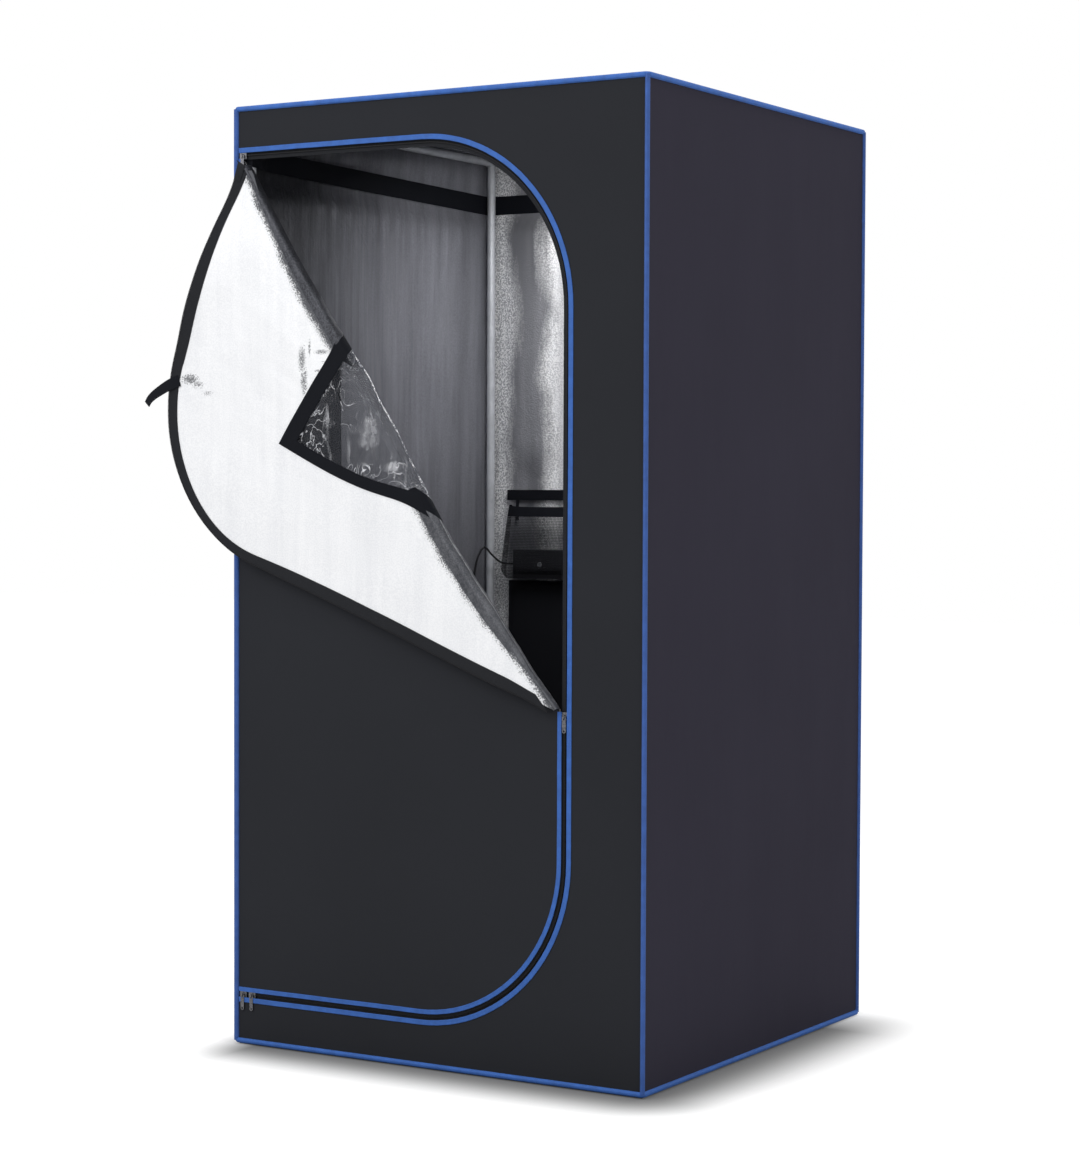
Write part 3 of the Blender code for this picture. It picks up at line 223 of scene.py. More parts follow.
def cloth_look(name, colour, pitch=0.0011, sheen=0.03, creases=0.5):
    """Closely woven coated cloth: a fine square weave, faint cloudiness and broad soft creases."""
    look = Look(name, colour, 0.80, specular=0.12)
    look.shade("Sheen Weight", sheen)
    look.shade("Sheen Roughness", 0.45)
    look.shade("Sheen Tint", (0.55, 0.50, 0.75, 1.0))
    grain = look.noise(1400.0, 2.0)
    threads = look.wave(pitch, "X") * look.wave(pitch, "Z") + look.wave(pitch, "Y") * 0.5
    shade = look.noise(2.6, 4.0) * 0.7 + grain * 0.3
    look.base(look.blend(shade.spread(0.25, 0.75), tint(colour, 0.90), tint(colour, 1.10)))
    look.rough(grain.spread(0.2, 0.8, 0.74, 0.88))
    look.bump(threads, 0.00012, 0.5)
    look.bump(look.noise(7.0, 3.0, 0.45, stretch=(1.6, 1.6, 0.45)), 0.004 * creases, 0.5)
    return look


def tape_look(name, colour, pitch=0.0016):
    """Folded binding tape: fine cross ribs, a slightly worn lighter crown and some dye variation."""
    look = Look(name, colour, 0.55, specular=0.2)
    look.shade("Sheen Weight", 0.08)
    look.shade("Sheen Roughness", 0.4)
    look.shade("Sheen Tint", (0.55, 0.70, 1.0, 1.0))
    ribs = look.wave(pitch, "X") + (look.wave(pitch, "Z") + look.wave(pitch, "Y"))
    wear = look.noise(60.0, 4.0, 0.6)
    shade = wear * 0.75 + ribs * 0.08
    look.base(look.blend(shade.spread(0.35, 0.85), tint(colour, 0.80), tint(colour, 1.28)))
    look.rough(wear.spread(0.3, 0.7, 0.48, 0.66))
    look.bump(ribs, 0.00018, 0.6)
    look.bump(look.noise(45.0, 3.0), 0.0010, 0.35)
    return look


def film_look(name, dark, bright, metallic, rough, speckle, crinkle):
    """Aluminised film on a fine carrier cloth: glittering speckle, crinkles and long soft draws."""
    look = Look(name, bright, 0.35, metallic, specular=0.3)
    fine = look.noise(420.0, 2.0, 0.6)
    fold = look.noise(9.0, 4.0, 0.55, stretch=(2.4, 2.4, 0.35))
    streak = look.noise(60.0, 3.0, 0.6, stretch=(1.0, 1.0, 0.07))
    shade = fine.spread(0.40, 0.60) * speckle + fold * (1 - speckle)
    shade = shade + streak.spread(0.3, 0.7, -0.08, 0.08)
    look.film = look.blend(shade.spread(0.25, 0.75), dark, bright)
    look.base(look.film)
    look.rough(fine.spread(0.3, 0.7, *rough))
    look.bump(fine, 0.0006, 0.55 * speckle)
    look.bump(look.noise(42.0, 6.0, 0.62, distortion=0.8), 0.0026 * crinkle, 0.55)
    look.bump(fold, 0.006 * crinkle, 0.5)
    return look


def side_film_look():
    """The side linings' film: painted shade darkening it towards the doorway, with finer upright draws."""
    look = film_look("lining_film", (0.150, 0.152, 0.172), (0.262, 0.265, 0.295), 0.50, (0.34, 0.52), 0.22, 0.8)
    drawn = look.noise(110.0, 3.0, 0.6, stretch=(1.0, 1.0, 0.05))
    # Painted shade: the film's colour falls to near black towards the front wall, where the doorway is.
    level = look.axes()[1].spread(-0.22, 0.20, 0.0, 1.05) + drawn.spread(0.3, 0.7, -0.09, 0.09)
    look.base(look.blend(look.calc("MINIMUM", level, 1.0), (0.026, 0.027, 0.032), look.film))
    look.bump(drawn, 0.0010, 0.5)
    return look


def back_film_look():
    """The back wall's film, with painted light: painted glitter where its folds face the door, a painted glare,
    and painted grey shade between the folds.
    """
    look = Look("lining_film_back", (0.5, 0.5, 0.52), 0.38, 0.35, specular=0.3)
    x = look.axes()[0]
    sway = look.noise(3.0, 2.0, stretch=(0.6, 0.6, 1.6)).spread(0.3, 0.7, -0.020, 0.020)
    ridge = look.calc("COSINE", (x + 0.378 + sway) * (2 * math.pi / 0.15))
    ragged = look.noise(28.0, 5.0, 0.7, stretch=(1.6, 1.6, 0.35)).spread(0.3, 0.7, -0.45, 0.45)
    # Painted light and shade: lit where the folds face the door, shaded between them.
    lit = (ridge + ragged).spread(-0.66, 0.60)
    grit = look.noise(330.0, 2.0, 0.6).spread(0.42, 0.58)
    # Painted glitter and painted glare, both fading out towards the right.
    painted_glitter = look.blend(grit, (0.42, 0.423, 0.445), (1.0, 1.0, 1.0))
    painted_glitter = look.blend(x.spread(-0.12, 0.05, 0.0, 0.45), painted_glitter, (0.34, 0.343, 0.365))
    glare = (x + ragged.spread(-0.45, 0.45, -0.020, 0.020)).spread(-0.275, -0.225)
    painted_glitter = look.blend(glare * x.spread(-0.12, 0.05, 0.75, 0.0), painted_glitter, (0.95, 0.955, 0.98))
    draws = look.noise(40.0, 3.0, stretch=(1, 1, 0.08))
    # Painted shade: smooth grey between the folds, in soft draws.
    smooth = look.blend(draws, (0.155, 0.158, 0.177), (0.29, 0.293, 0.313))
    look.base(look.blend(lit, smooth, painted_glitter))
    look.rough(lit.spread(0.0, 1.0, 0.52, 0.34))
    look.bump(grit, 0.0005, 0.5)
    look.bump(look.noise(36.0, 6.0, 0.62, distortion=0.8), 0.0020, 0.55)
    return look


def fold_distance(look):
    """How far a point of the door lies from the sagging fold, in metres; less at its two ends."""
    x, _, z = look.axes()
    x, z = x - FOLD_TOP.x, z - FOLD_TOP.y
    away = x * FOLD_SIDE.x + z * FOLD_SIDE.y
    along = x * FOLD_ALONG.x + z * FOLD_ALONG.y
    share = (along - 0.78) / 0.20
    sag = look.calc("EXPONENT", share * share * -1.0)
    away = away - (sag * 0.018 + along.spread(0.05, 0.22, 0.0, 0.006))
    ends = along.spread(0.02, 0.26, 0.012, -0.006) + along.spread(0.88, 1.08, 0.0, 0.016)
    return away + (ends + along.spread(0.37, 0.46, 0.0, 0.006))


def painted_light_patch(look, x, z, wide, high, noise, edge=0.5):
    """A speckled patch round a point of the door, 0 to 1, where crease shade and highlights are painted."""
    at_x, _, at_z = look.axes()
    a, b = (at_x - x) / wide, (at_z - z) / high
    return (1.0 - (a * a + b * b) + noise).spread(edge, edge + 0.5)


def door_film_look():
    """The door's lining: nearly white, with painted shade in dark silver along a speckled line where it turns over
    the fold, and in a few creases.
    """
    look = film_look("door_film", (0.79, 0.80, 0.825), (0.91, 0.915, 0.93), 0.10, (0.40, 0.55), 0.30, 0.30)
    grit = look.noise(520.0, 3.0, 0.7)
    jitter = grit.spread(0.3, 0.7, -0.009, 0.009) + look.noise(30.0, 4.0, 0.6).spread(0.3, 0.7, -0.003, 0.003)
    # Painted shade where the lining turns over the fold.
    turned = (fold_distance(look) + jitter).spread(0.014, 0.020, 1.0, 0.0)
    noise = grit.spread(0.35, 0.65, -0.8, 0.8)
    # Painted shade in creases at listed points; the last three are the strap's shadow where it is sewn on.
    marks = 0.0
    for x, z, wide, high, edge in (
        (-0.248, 1.172, 0.009, 0.026, 0.4), (-0.243, 1.135, 0.008, 0.028, 0.4), (-0.233, 1.190, 0.003, 0.016, 0.5),
        (-0.209, 1.183, 0.016, 0.005, 0.4), (-0.196, 1.166, 0.014, 0.004, 0.5), (-0.216, 1.152, 0.009, 0.003, 0.5),
        (-0.486, 1.143, 0.020, 0.009, 0.2), (-0.468, 1.133, 0.018, 0.008, 0.6), (-0.448, 1.118, 0.016, 0.006, 0.8),
    ):
        marks = look.calc("MAXIMUM", marks, painted_light_patch(look, x, z, wide, high, noise, edge))
    look.base(look.blend(look.calc("MAXIMUM", turned, marks * 0.85), look.film, (0.075, 0.078, 0.088)))
    return look


def web_look(name, colour, pitch=0.0022):
    """Black webbing: a ribbed weave, with the odd lighter thread."""
    look = Look(name, colour, 0.8, specular=0.12)
    fluff = look.noise(900.0, 2.0)
    look.base(look.blend(fluff.spread(0.35, 0.8), tint(colour, 0.85), tint(colour, 1.7)))
    look.rough(fluff.spread(0.2, 0.8, 0.72, 0.90))
    look.bump(look.wave(pitch, "DIAGONAL") * look.wave(pitch * 0.8, "Z"), 0.0003, 0.7)
    return look


def steel_look(name, colour):
    """Grey coated steel tube: a fine orange peel, faint drawing lines and scuffs."""
    look = Look(name, colour, 0.38, 0.25, specular=0.4)
    scuff = look.noise(34.0, 5.0, 0.65)
    look.base(look.blend(scuff.spread(0.35, 0.75), tint(colour, 0.86), tint(colour, 1.14)))
    look.rough(scuff.spread(0.3, 0.7, 0.30, 0.48))
    look.bump(look.noise(800.0, 2.0), 0.00012, 0.5)
    look.bump(look.noise(120.0, 2.0, stretch=(1, 1, 0.06)), 0.0002, 0.3)
    return look


def nickel_look(name):
    """Plated zip metal, dulled by handling."""
    look = Look(name, (0.42, 0.42, 0.44), 0.28, 1.0)
    marks = look.noise(260.0, 4.0, 0.7)
    look.base(look.blend(marks.spread(0.3, 0.75), (0.10, 0.10, 0.11), (0.25, 0.25, 0.265)))
    look.rough(marks.spread(0.3, 0.7, 0.20, 0.42))
    look.bump(marks, 0.00015, 0.5)
    return look


def plastic_look(name, colour, rough=0.45):
    """Moulded plastic with a fine spark grain."""
    look = Look(name, colour, rough, specular=0.25)
    cloud = look.noise(25.0, 3.0).spread(0.3, 0.7)
    look.base(look.blend(cloud, tint(colour, 0.9), tint(colour, 1.15)))
    look.rough(look.noise(300.0, 3.0).spread(0.3, 0.7, rough - 0.06, rough + 0.08))
    grain = look.node("ShaderNodeTexVoronoi", {"Vector": look.where, "Scale": 1500.0}, "Distance")
    look.bump(grain, 0.00015, 0.5)
    return look


def clear_look(name, dull, few):
    """Clear soft film: greyed where it bags, with painted highlights: pale where it bulges and bright squiggles
    along its creases.
    """
    look = Look(name, (0.30, 0.31, 0.34), 0.12, specular=0.6)
    crease = look.noise(19.0, 3.0, 0.55, distortion=1.8)
    ridge = look.calc("ABSOLUTE", crease - 0.5)
    # Painted highlights: bright squiggles along the creases.
    line = ridge.spread(0.0, 0.016, 1.0, 0.0) * look.noise(12.0, 2.0).spread(*few)
    draw = look.noise(46.0, 3.0, 0.55, stretch=(1.0, 1.0, 0.16), turn=(0.0, -0.45, 0.0))
    noise = look.noise(60.0, 4.0, 0.7).spread(0.3, 0.7, -0.5, 0.5)
    # Painted highlights: pale patches where the film bulges, and pale streaks.
    pale = look.calc(
        "MAXIMUM", painted_light_patch(look, -0.120, 1.048, 0.020, 0.042, noise, 0.3),
        painted_light_patch(look, -0.068, 0.992, 0.026, 0.014, noise, 0.3),
    )
    pale = pale * draw.spread(0.35, 0.6) * 0.55
    light = look.calc("MAXIMUM", line, look.calc("MAXIMUM", pale, draw.spread(0.60, 0.70, 0.0, 0.55)))
    cloud = look.noise(9.0, 3.0, stretch=(1.6, 1.6, 0.8)).spread(0.35, 0.75, *dull)
    look.shade("Alpha", look.calc("MAXIMUM", light * 0.80, cloud))
    look.base(look.blend(light, (0.10, 0.105, 0.125), (0.88, 0.89, 0.93)))
    look.bump(crease, 0.006, 0.8)
    return look


def mesh_look():
    """Open black mesh cloth: round holes in a grid of threads."""
    look = Look("pocket_mesh", (0.020, 0.021, 0.025), 0.75, specular=0.15)
    holes = look.wave(0.0030, "X") * look.wave(0.0030, "Z")
    look.shade("Alpha", holes.spread(0.30, 0.55, 0.42, 0.03))
    look.bump(holes, 0.0003, 0.6)
    return look


def board_look():
    """A printed circuit board: tracks in two greens."""
    look = Look("circuit_board", (0.020, 0.110, 0.045), 0.4)
    tracks = look.calc("GREATER_THAN", look.wave(0.004, "X", 6.0) * look.wave(0.005, "Z", 5.0), 0.45)
    look.base(look.blend(tracks, (0.014, 0.085, 0.036), (0.030, 0.180, 0.070)))
    look.bump(tracks, 0.00015, 0.6)
    return look


LOOKS = {
    "cloth": cloth_look("black_cloth", (0.0200, 0.0213, 0.0255)),
    # Painted light: the side walls get a lighter, more violet copy of the black cloth.
    "cloth_side_painted_light": cloth_look("black_cloth_sides_painted_light", (0.0262, 0.0242, 0.0375), sheen=0.05, creases=0.8),
    "floor_cloth": cloth_look("floor_cloth", (0.030, 0.032, 0.036), pitch=0.0016),
    "tape": tape_look("blue_tape", (0.047, 0.142, 0.470)),
    # Painted shade: a darker copy of the blue tape for the corner posts.
    "seam": tape_look("blue_seam_tape_painted_shade", (0.046, 0.112, 0.365)),
    "lining": side_film_look(),
    "lining_back": back_film_look(),
    "white": film_look(
        "panel_film", (0.74, 0.75, 0.78), (0.86, 0.865, 0.885), 0.10, (0.40, 0.55), 0.30, 0.30),
    "flap_film": door_film_look(),
    # Painted shade: the door's lining made dark silver where it turns over the fold, darker still near its top,
    # with a painted highlight along its crest.
    "fold": film_look(
        "fold_film_painted_shade", (0.045, 0.047, 0.055), (0.125, 0.128, 0.140), 0.60, (0.30, 0.45), 0.25, 0.8),
    # Painted shade, darker still, for the fold's upper part.
    "fold_upper": film_look(
        "fold_film_upper", (0.020, 0.021, 0.026), (0.070, 0.072, 0.083), 0.50, (0.34, 0.50), 0.40, 0.8),
    "fold_glint": film_look(
        "fold_crest_painted_highlight", (0.13, 0.133, 0.145), (0.36, 0.363, 0.38), 0.60, (0.28, 0.40), 0.25, 0.8),
    "web": web_look("black_webbing", (0.0045, 0.0052, 0.0078)),
    "zip_tape": web_look("zip_tape", (0.0155, 0.0163, 0.0190), 0.0014),
    "teeth": plastic_look("zip_teeth", (0.008, 0.008, 0.010), 0.50),
    "steel": steel_look("coated_steel", (0.46, 0.475, 0.505)),
    "nickel": nickel_look("nickel"),
    "panel": cloth_look("panel_cloth", (0.0085, 0.0090, 0.0115), pitch=0.0016, sheen=0.02),
    "plastic": plastic_look("case_plastic", (0.014, 0.014, 0.017)),
    "key": plastic_look("key_plastic", (0.28, 0.29, 0.31), 0.40),
    "rubber": plastic_look("lead_sheath", (0.012, 0.012, 0.014), 0.5),
    "clear": clear_look("window_film", (0.05, 0.24), (0.50, 0.60)),
    # Painted glints: the window film on the fold's crest, more opaque with more bright squiggles.
    "clear_crest": clear_look("window_film_crest_glint", (0.35, 0.75), (0.30, 0.45)),
    "mesh": mesh_look(),
    "board": board_look(),
}


# Mesh helpers

def link(obj):
    bpy.context.scene.collection.objects.link(obj)
    return obj


def smoothed(mesh, sharp):
    mesh.shade_smooth()
    mesh.set_sharp_from_angle(angle=math.radians(sharp))
    return mesh


def mesh_object(name, points, faces, looks, sharp=40, closed=False, slots=None):
    mesh = bpy.data.meshes.new(name)
    mesh.from_pydata([tuple(p) for p in points], [], [tuple(f) for f in faces])
    mesh.validate()
    if closed:
        shape = bmesh.new()
        shape.from_mesh(mesh)
        bmesh.ops.recalc_face_normals(shape, faces=shape.faces)
        shape.to_mesh(mesh)
        shape.free()
    for look in looks:
        mesh.materials.append(LOOKS[look].mat)
    if slots is not None:
        mesh.polygons.foreach_set("material_index", slots)
    return link(bpy.data.objects.new(name, smoothed(mesh, sharp)))


def thicken(obj, thick, both_looks=False):
    """The surface made thick, with the next look on its other side if it has two."""
    skin = obj.modifiers.new("thickness", "SOLIDIFY")
    skin.thickness = thick
    skin.offset = 0.0
    skin.use_even_offset = False
    if both_looks:
        skin.material_offset = 1
    bpy.context.view_layer.update()
    graph = bpy.context.evaluated_depsgraph_get()
    mesh = bpy.data.meshes.new_from_object(obj.evaluated_get(graph), depsgraph=graph)
    obj.modifiers.clear()
    obj.data = smoothed(mesh, 60)
    return obj


def grid_faces(rows, across):
    """Faces between rows of points, row by row."""
    return [
        (i * across + k, (i + 1) * across + k, (i + 1) * across + k + 1, i * across + k + 1)
        for i in range(rows - 1) for k in range(across - 1)
    ]


def resampled(loop, spacing, closed=True):
    """Points along a line at about the spacing, with its own corners kept."""
    loop = [np.array(p, float) for p in loop]
    found = []
    pairs = zip(loop, loop[1:] + loop[:1]) if closed else zip(loop, loop[1:])
    for here, after in pairs:
        length = np.linalg.norm(after - here)
        if length < 1e-6:
            continue
        steps = max(1, int(round(length / spacing)))
        found += [here + (after - here) * step / steps for step in range(steps)]
    if not closed:
        found.append(loop[-1])
    return np.array(found)


def inside(points, loop):
    x, y = points[:, 0], points[:, 1]
    hit = np.zeros(len(points), bool)
    for (x0, y0), (x1, y1) in zip(loop, np.roll(loop, -1, axis=0)):
        if y1 != y0:
            hit ^= ((y0 > y) != (y1 > y)) & (x < (x1 - x0) * (y - y0) / (y1 - y0) + x0)
    return hit


def within(points, rings):
    """Inside the first ring and outside the others."""
    keep = inside(points, rings[0])
    for ring in rings[1:]:
        keep &= ~inside(points, ring)
    return keep


def edge_distance(points, loops):
    """How far each point is from the nearest edge of the loops."""
    dense = np.concatenate([resampled(loop, 0.003) for loop in loops])
    tree = KDTree(len(dense))
    for index, (x, y) in enumerate(dense):
        tree.insert((x, y, 0.0), index)
    tree.balance()
    return np.array([tree.find((x, y, 0.0))[2] for x, y in points])


def soft_noise(u, v, scale, seed, octaves=3):
    """Smooth noise from a few turned waves: about -1 to 1, the same every run."""
    rng = np.random.default_rng(seed)
    total, weight = 0.0, 0.0
    for octave in range(octaves):
        for _ in range(4):
            angle, phase = rng.uniform(0, 2 * math.pi, 2)
            k = 2 * math.pi / scale * 1.9 ** octave * rng.uniform(0.7, 1.3)
            total = total + 0.6 ** octave * np.sin(k * (u * math.cos(angle) + v * math.sin(angle)) + phase)
            weight += 0.6 ** octave * 0.5
    return total / weight * 0.5


def eased(distance, reach):
    t = np.clip(distance / reach, 0, 1)
    return t * t * (3 - 2 * t)


def bell(value, middle, width):
    return np.exp(-((value - middle) / width) ** 2)


def still(u, v, edge):
    return u * 0


def loop_area(loop):
    x, y = np.array(loop).T
    return abs(np.sum(x * np.roll(y, -1) - np.roll(x, -1) * y)) / 2


def goes(obj, body, *nodes):
    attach(obj, body)
    if nodes:
        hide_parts(*nodes)
    return obj


def sheet(name, node, loops, spacing, place, lift, thick, looks, body="tent", band=None):
    """A sheet of cloth that stands for a CAD node.

    Its outline with holes is meshed finely and lifted by lift(u, v, distance to its edge). A flat size from its
    own cut, or for a mitred band one as wide as band, is worked out and not used."""
    rings = [resampled(loop, spacing) for loop in loops]
    low, high = rings[0].min(axis=0), rings[0].max(axis=0)
    area = loop_area(loops[0]) - sum(loop_area(loop) for loop in loops[1:])
    grid = np.stack(np.meshgrid(
        np.arange(low[0] + spacing / 2, high[0], spacing), np.arange(low[1] + spacing / 2, high[1], spacing)
    ), axis=-1).reshape(-1, 2)
    grid[:, 0] += ((grid[:, 1] - low[1]) / spacing).astype(int) % 2 * spacing / 2
    grid = grid[within(grid, rings)]
    grid = grid[edge_distance(grid, rings) > spacing * 0.55]
    points = np.concatenate(rings + [grid])
    edges, start = [], 0
    for ring in rings:
        count = len(ring)
        edges += [(start + i, start + (i + 1) % count) for i in range(count)]
        start += count
    verts, _, faces, *_ = delaunay_2d_cdt([Vector(p) for p in points], edges, [], 0, 1e-7, False)
    flat = np.array([tuple(v) for v in verts])
    faces = np.array(faces)
    faces = faces[within(flat[faces].mean(axis=1), rings)]
    rise = lift(flat[:, 0], flat[:, 1], edge_distance(flat, rings))
    obj = mesh_object(name, place(flat[:, 0], flat[:, 1], rise), faces, looks)
    thicken(obj, thick, len(looks) > 1)
    if node is None:
        return obj
    goes(obj, body, node)
    width, length = (band, area / band) if band else high - low
    area = min(width * length, max(area, 0.301 * width * length))
    return obj


def front_place(y):
    """Places (u, v, rise) in the plane of the front wall, rising outwards, towards -Y."""
    return lambda u, v, rise: np.stack([u, y - rise, v], axis=1)


def level_place(z):
    return lambda u, v, rise: np.stack([u, v, z + rise], axis=1)


def wall_place(wall, inset):
    """Places (along, z, rise) on a wall, from a depth behind its outer face, rising outwards."""
    def place(u, v, rise):
        out = HALF - inset + rise
        spots = {"right": (out, u, v), "left": (-out, -u, v), "back": (-u, out, v)}
        return np.stack(spots[wall], axis=1)
    return place


def sweep(name, path, profile, looks, closed=False, up=(0, -1, 0), wobble=0.0, seed=1, sharp=50):
    """A profile of (side, out) points carried along a path."""
    path = np.array(path, float)
    count, ring = len(path), len(profile)
    points, faces = [], []
    offsets = np.random.default_rng(seed).normal(0, 1, count)
    offsets = sum(np.roll(offsets, s) for s in range(-3, 4)) / 7 * wobble
    for i in range(count):
        before = path[i - 1] if closed or i else path[i]
        after = path[(i + 1) % count] if closed or i < count - 1 else path[i]
        along = Vector(after - before).normalized()
        side = along.cross(Vector(up)).normalized()
        out = side.cross(along).normalized()
        base = Vector(path[i]) + side * offsets[i]
        points += [base + side * a + out * b for a, b in profile]
    for i in range(count if closed else count - 1):
        j = (i + 1) % count
        for k in range(ring):
            m = (k + 1) % ring
            faces.append((i * ring + k, i * ring + m, j * ring + m, j * ring + k))
    if not closed:
        faces.append(tuple(range(ring))[::-1])
        faces.append(tuple((count - 1) * ring + k for k in range(ring)))
    return mesh_object(name, points, faces, looks, sharp, closed=True)


def joined_objects(name, objects):
    """Several meshes as one object."""
    points, faces, slots, looks = [], [], [], []
    for obj in objects:
        base, offset = len(points), len(looks)
        looks += list(obj.data.materials)
        points += [v.co.copy() for v in obj.data.vertices]
        for face in obj.data.polygons:
            faces.append([base + i for i in face.vertices])
            slots.append(offset + face.material_index)
        bpy.data.objects.remove(obj, do_unlink=True)
    mesh = bpy.data.meshes.new(name)
    mesh.from_pydata(points, [], faces)
    for look in looks:
        mesh.materials.append(look)
    mesh.polygons.foreach_set("material_index", slots)
    return link(bpy.data.objects.new(name, smoothed(mesh, 50)))


# Doorway and fold, as (x, z)

def arc(cx, cz, radius, start, end, steps=24):
    angles = [math.radians(start + (end - start) * s / steps) for s in range(steps + 1)]
    return [(cx + radius * math.cos(a), cz + radius * math.sin(a)) for a in angles]


def fold_z(x):
    return FOLD_TOP.y + (x - FOLD_TOP.x) * FOLD_ALONG.y / FOLD_ALONG.x


TIP = FOLD_TOP + FOLD_ALONG * (TIP_DROP / -FOLD_ALONG.y)


def tip_x(z):
    lean = Vector((2 * FOLD_ALONG.x ** 2 - 1, 2 * FOLD_ALONG.x * FOLD_ALONG.y))
    return TIP.x + (z - TIP.y) * lean.x / lean.y


def low_path(inset, end=None):
    radius, cx = DOOR_RADIUS - inset, DOOR_RIGHT - DOOR_RADIUS
    path = [(DOOR_LEFT, DOOR_BOTTOM + inset)] + arc(cx, DOOR_BOTTOM + DOOR_RADIUS, radius, -90, 0)
    return path + ([(DOOR_RIGHT - inset, end)] if end is not None else [])


def high_path(inset, start=None, left=DOOR_LEFT):
    radius, cx = DOOR_RADIUS - inset, DOOR_RIGHT - DOOR_RADIUS
    path = [(DOOR_RIGHT - inset, start)] if start is not None else []
    return path + arc(cx, DOOR_TOP - DOOR_RADIUS, radius, 0, 90) + [(left, DOOR_TOP - inset)]


def whole_path(inset):
    return low_path(inset) + high_path(inset)


def door_side(points, above):
    """A closed loop clipped to one side of the fold."""
    found = []
    for here, after in zip(points, points[1:] + points[:1]):
        a, b = ((Vector(point) - FOLD_TOP).dot(FOLD_SIDE) for point in (here, after))
        if (a < 0) == above:
            found.append(tuple(here))
        if (a < 0) != (b < 0):
            found.append(tuple(Vector(here).lerp(Vector(after), a / (a - b))))
    return found


def window_loop(shrink, above):
    """The window's outline on one side of the fold."""
    left, right, low, high = (value + step for value, step in zip(WINDOW, (shrink, -shrink, shrink, -shrink)))
    return door_side([(left, low), (left, high), (right, high), (right, low)], above)


def door_outline(inset, above):
    """The door's outline on one side of the fold."""
    if above:
        return [tuple(TIP)] + high_path(inset, fold_z(DOOR_RIGHT - inset), tip_x(DOOR_TOP - inset))
    top = DOOR_TOP - inset
    left = FOLD_TOP.x + (top - FOLD_TOP.y) * FOLD_ALONG.x / FOLD_ALONG.y
    edge = low_path(inset, fold_z(DOOR_RIGHT - inset) - TOUCH)
    return [(DOOR_LEFT, top), (left - TOUCH, top)] + edge[::-1]


def to_axis(x, z):
    """Along the fold and away from it, towards the panel's side."""
    x, z = x - FOLD_TOP.x, z - FOLD_TOP.y
    return x * FOLD_ALONG.x + z * FOLD_ALONG.y, x * FOLD_SIDE.x + z * FOLD_SIDE.y


def from_axis(u, v):
    return FOLD_TOP.x + FOLD_ALONG.x * u + FOLD_SIDE.x * v, FOLD_TOP.y + FOLD_ALONG.y * u + FOLD_SIDE.y * v


def bow(u, far):
    """How far the fold sags towards the door's foot, fading out over the cloth beside it."""
    sag = (0.006 * eased(u - 0.05, 0.20) + 0.018 * bell(u, 0.78, 0.20)) * eased(1.13 - u, 0.12)
    return sag * np.clip(1 - np.abs(far) / 0.25, 0, 1) ** 2


def panel_place(y):
    """Places (x, z, rise) in the door's plane below the fold, with the fold's sag."""
    def place(x, z, rise):
        u, v = to_axis(x, z)
        x, z = from_axis(u, v + bow(u, v))
        return np.stack([x, y - rise, z], axis=1)
    return place


def flap_drape(x, z):
    """Soft waves of the hanging flap, outwards, from its place at rest."""
    wave = 0.5 + 0.5 * soft_noise(x, z, 0.42, 11, 2)
    small = 0.5 + 0.5 * soft_noise(x, z, 0.12, 12, 2)
    return eased(to_axis(x, z)[1], 0.10) * (0.0050 * wave + 0.0012 * small)


def flap_place(y):
    """Closed-door (x, z) and a rise towards the camera at rest, turned over the fold to where it rests.

    The cloth isn't stiff: it hangs a little short of its flat size, its upper edge stands off and out, its tip
    is drawn towards the slider, and the window is drawn along the fold."""
    def place(x, z, rise):
        free = eased(-to_axis(x, z)[1], 0.05)
        x, z = x - 0.0080 * eased(x - 0.02, 0.20) * free, z - 0.0035 * eased(x + 0.02, 0.12) * free
        u, v = to_axis(x, z)
        away = -v
        beside = np.clip(1 - away / WINDOW_FAR, 0, 1)
        pull = beside * eased(u - 0.10, 0.24) * eased(0.70 - u, 0.26)
        u = u + 0.072 * pull - 0.018 * beside * bell(u, 0.715, 0.10)
        rest_x, rest_z = from_axis(u, away + bow(u, away))
        wide = np.where(u < 0.135, 0.075, 0.052)
        curl = bell(u, 0.135, wide) * np.clip(away / (1.69 * u + 0.02), 0, 1.1) ** 1.5
        rest_x = rest_x - 0.0045 * curl + 0.015 * bell(u, 0.02, 0.045)
        rest_z = rest_z + 0.0026 * curl
        rest_y = 2 * FOLD_Y - y - flap_drape(rest_x, rest_z) - 0.012 * curl - rise
        return np.stack([rest_x, rest_y, rest_z], axis=1)
    return place


def carried(obj):
    """A flap's mesh built in closed-door coordinates, moved to where the flap rests."""
    co = np.array([v.co for v in obj.data.vertices])
    turned = flap_place(0.0)(co[:, 0], co[:, 2], co[:, 1])
    obj.data.vertices.foreach_set("co", turned.ravel())
    obj.data.update()
    return obj


# Cords first: the three heater leads, along the routes they have in the CAD

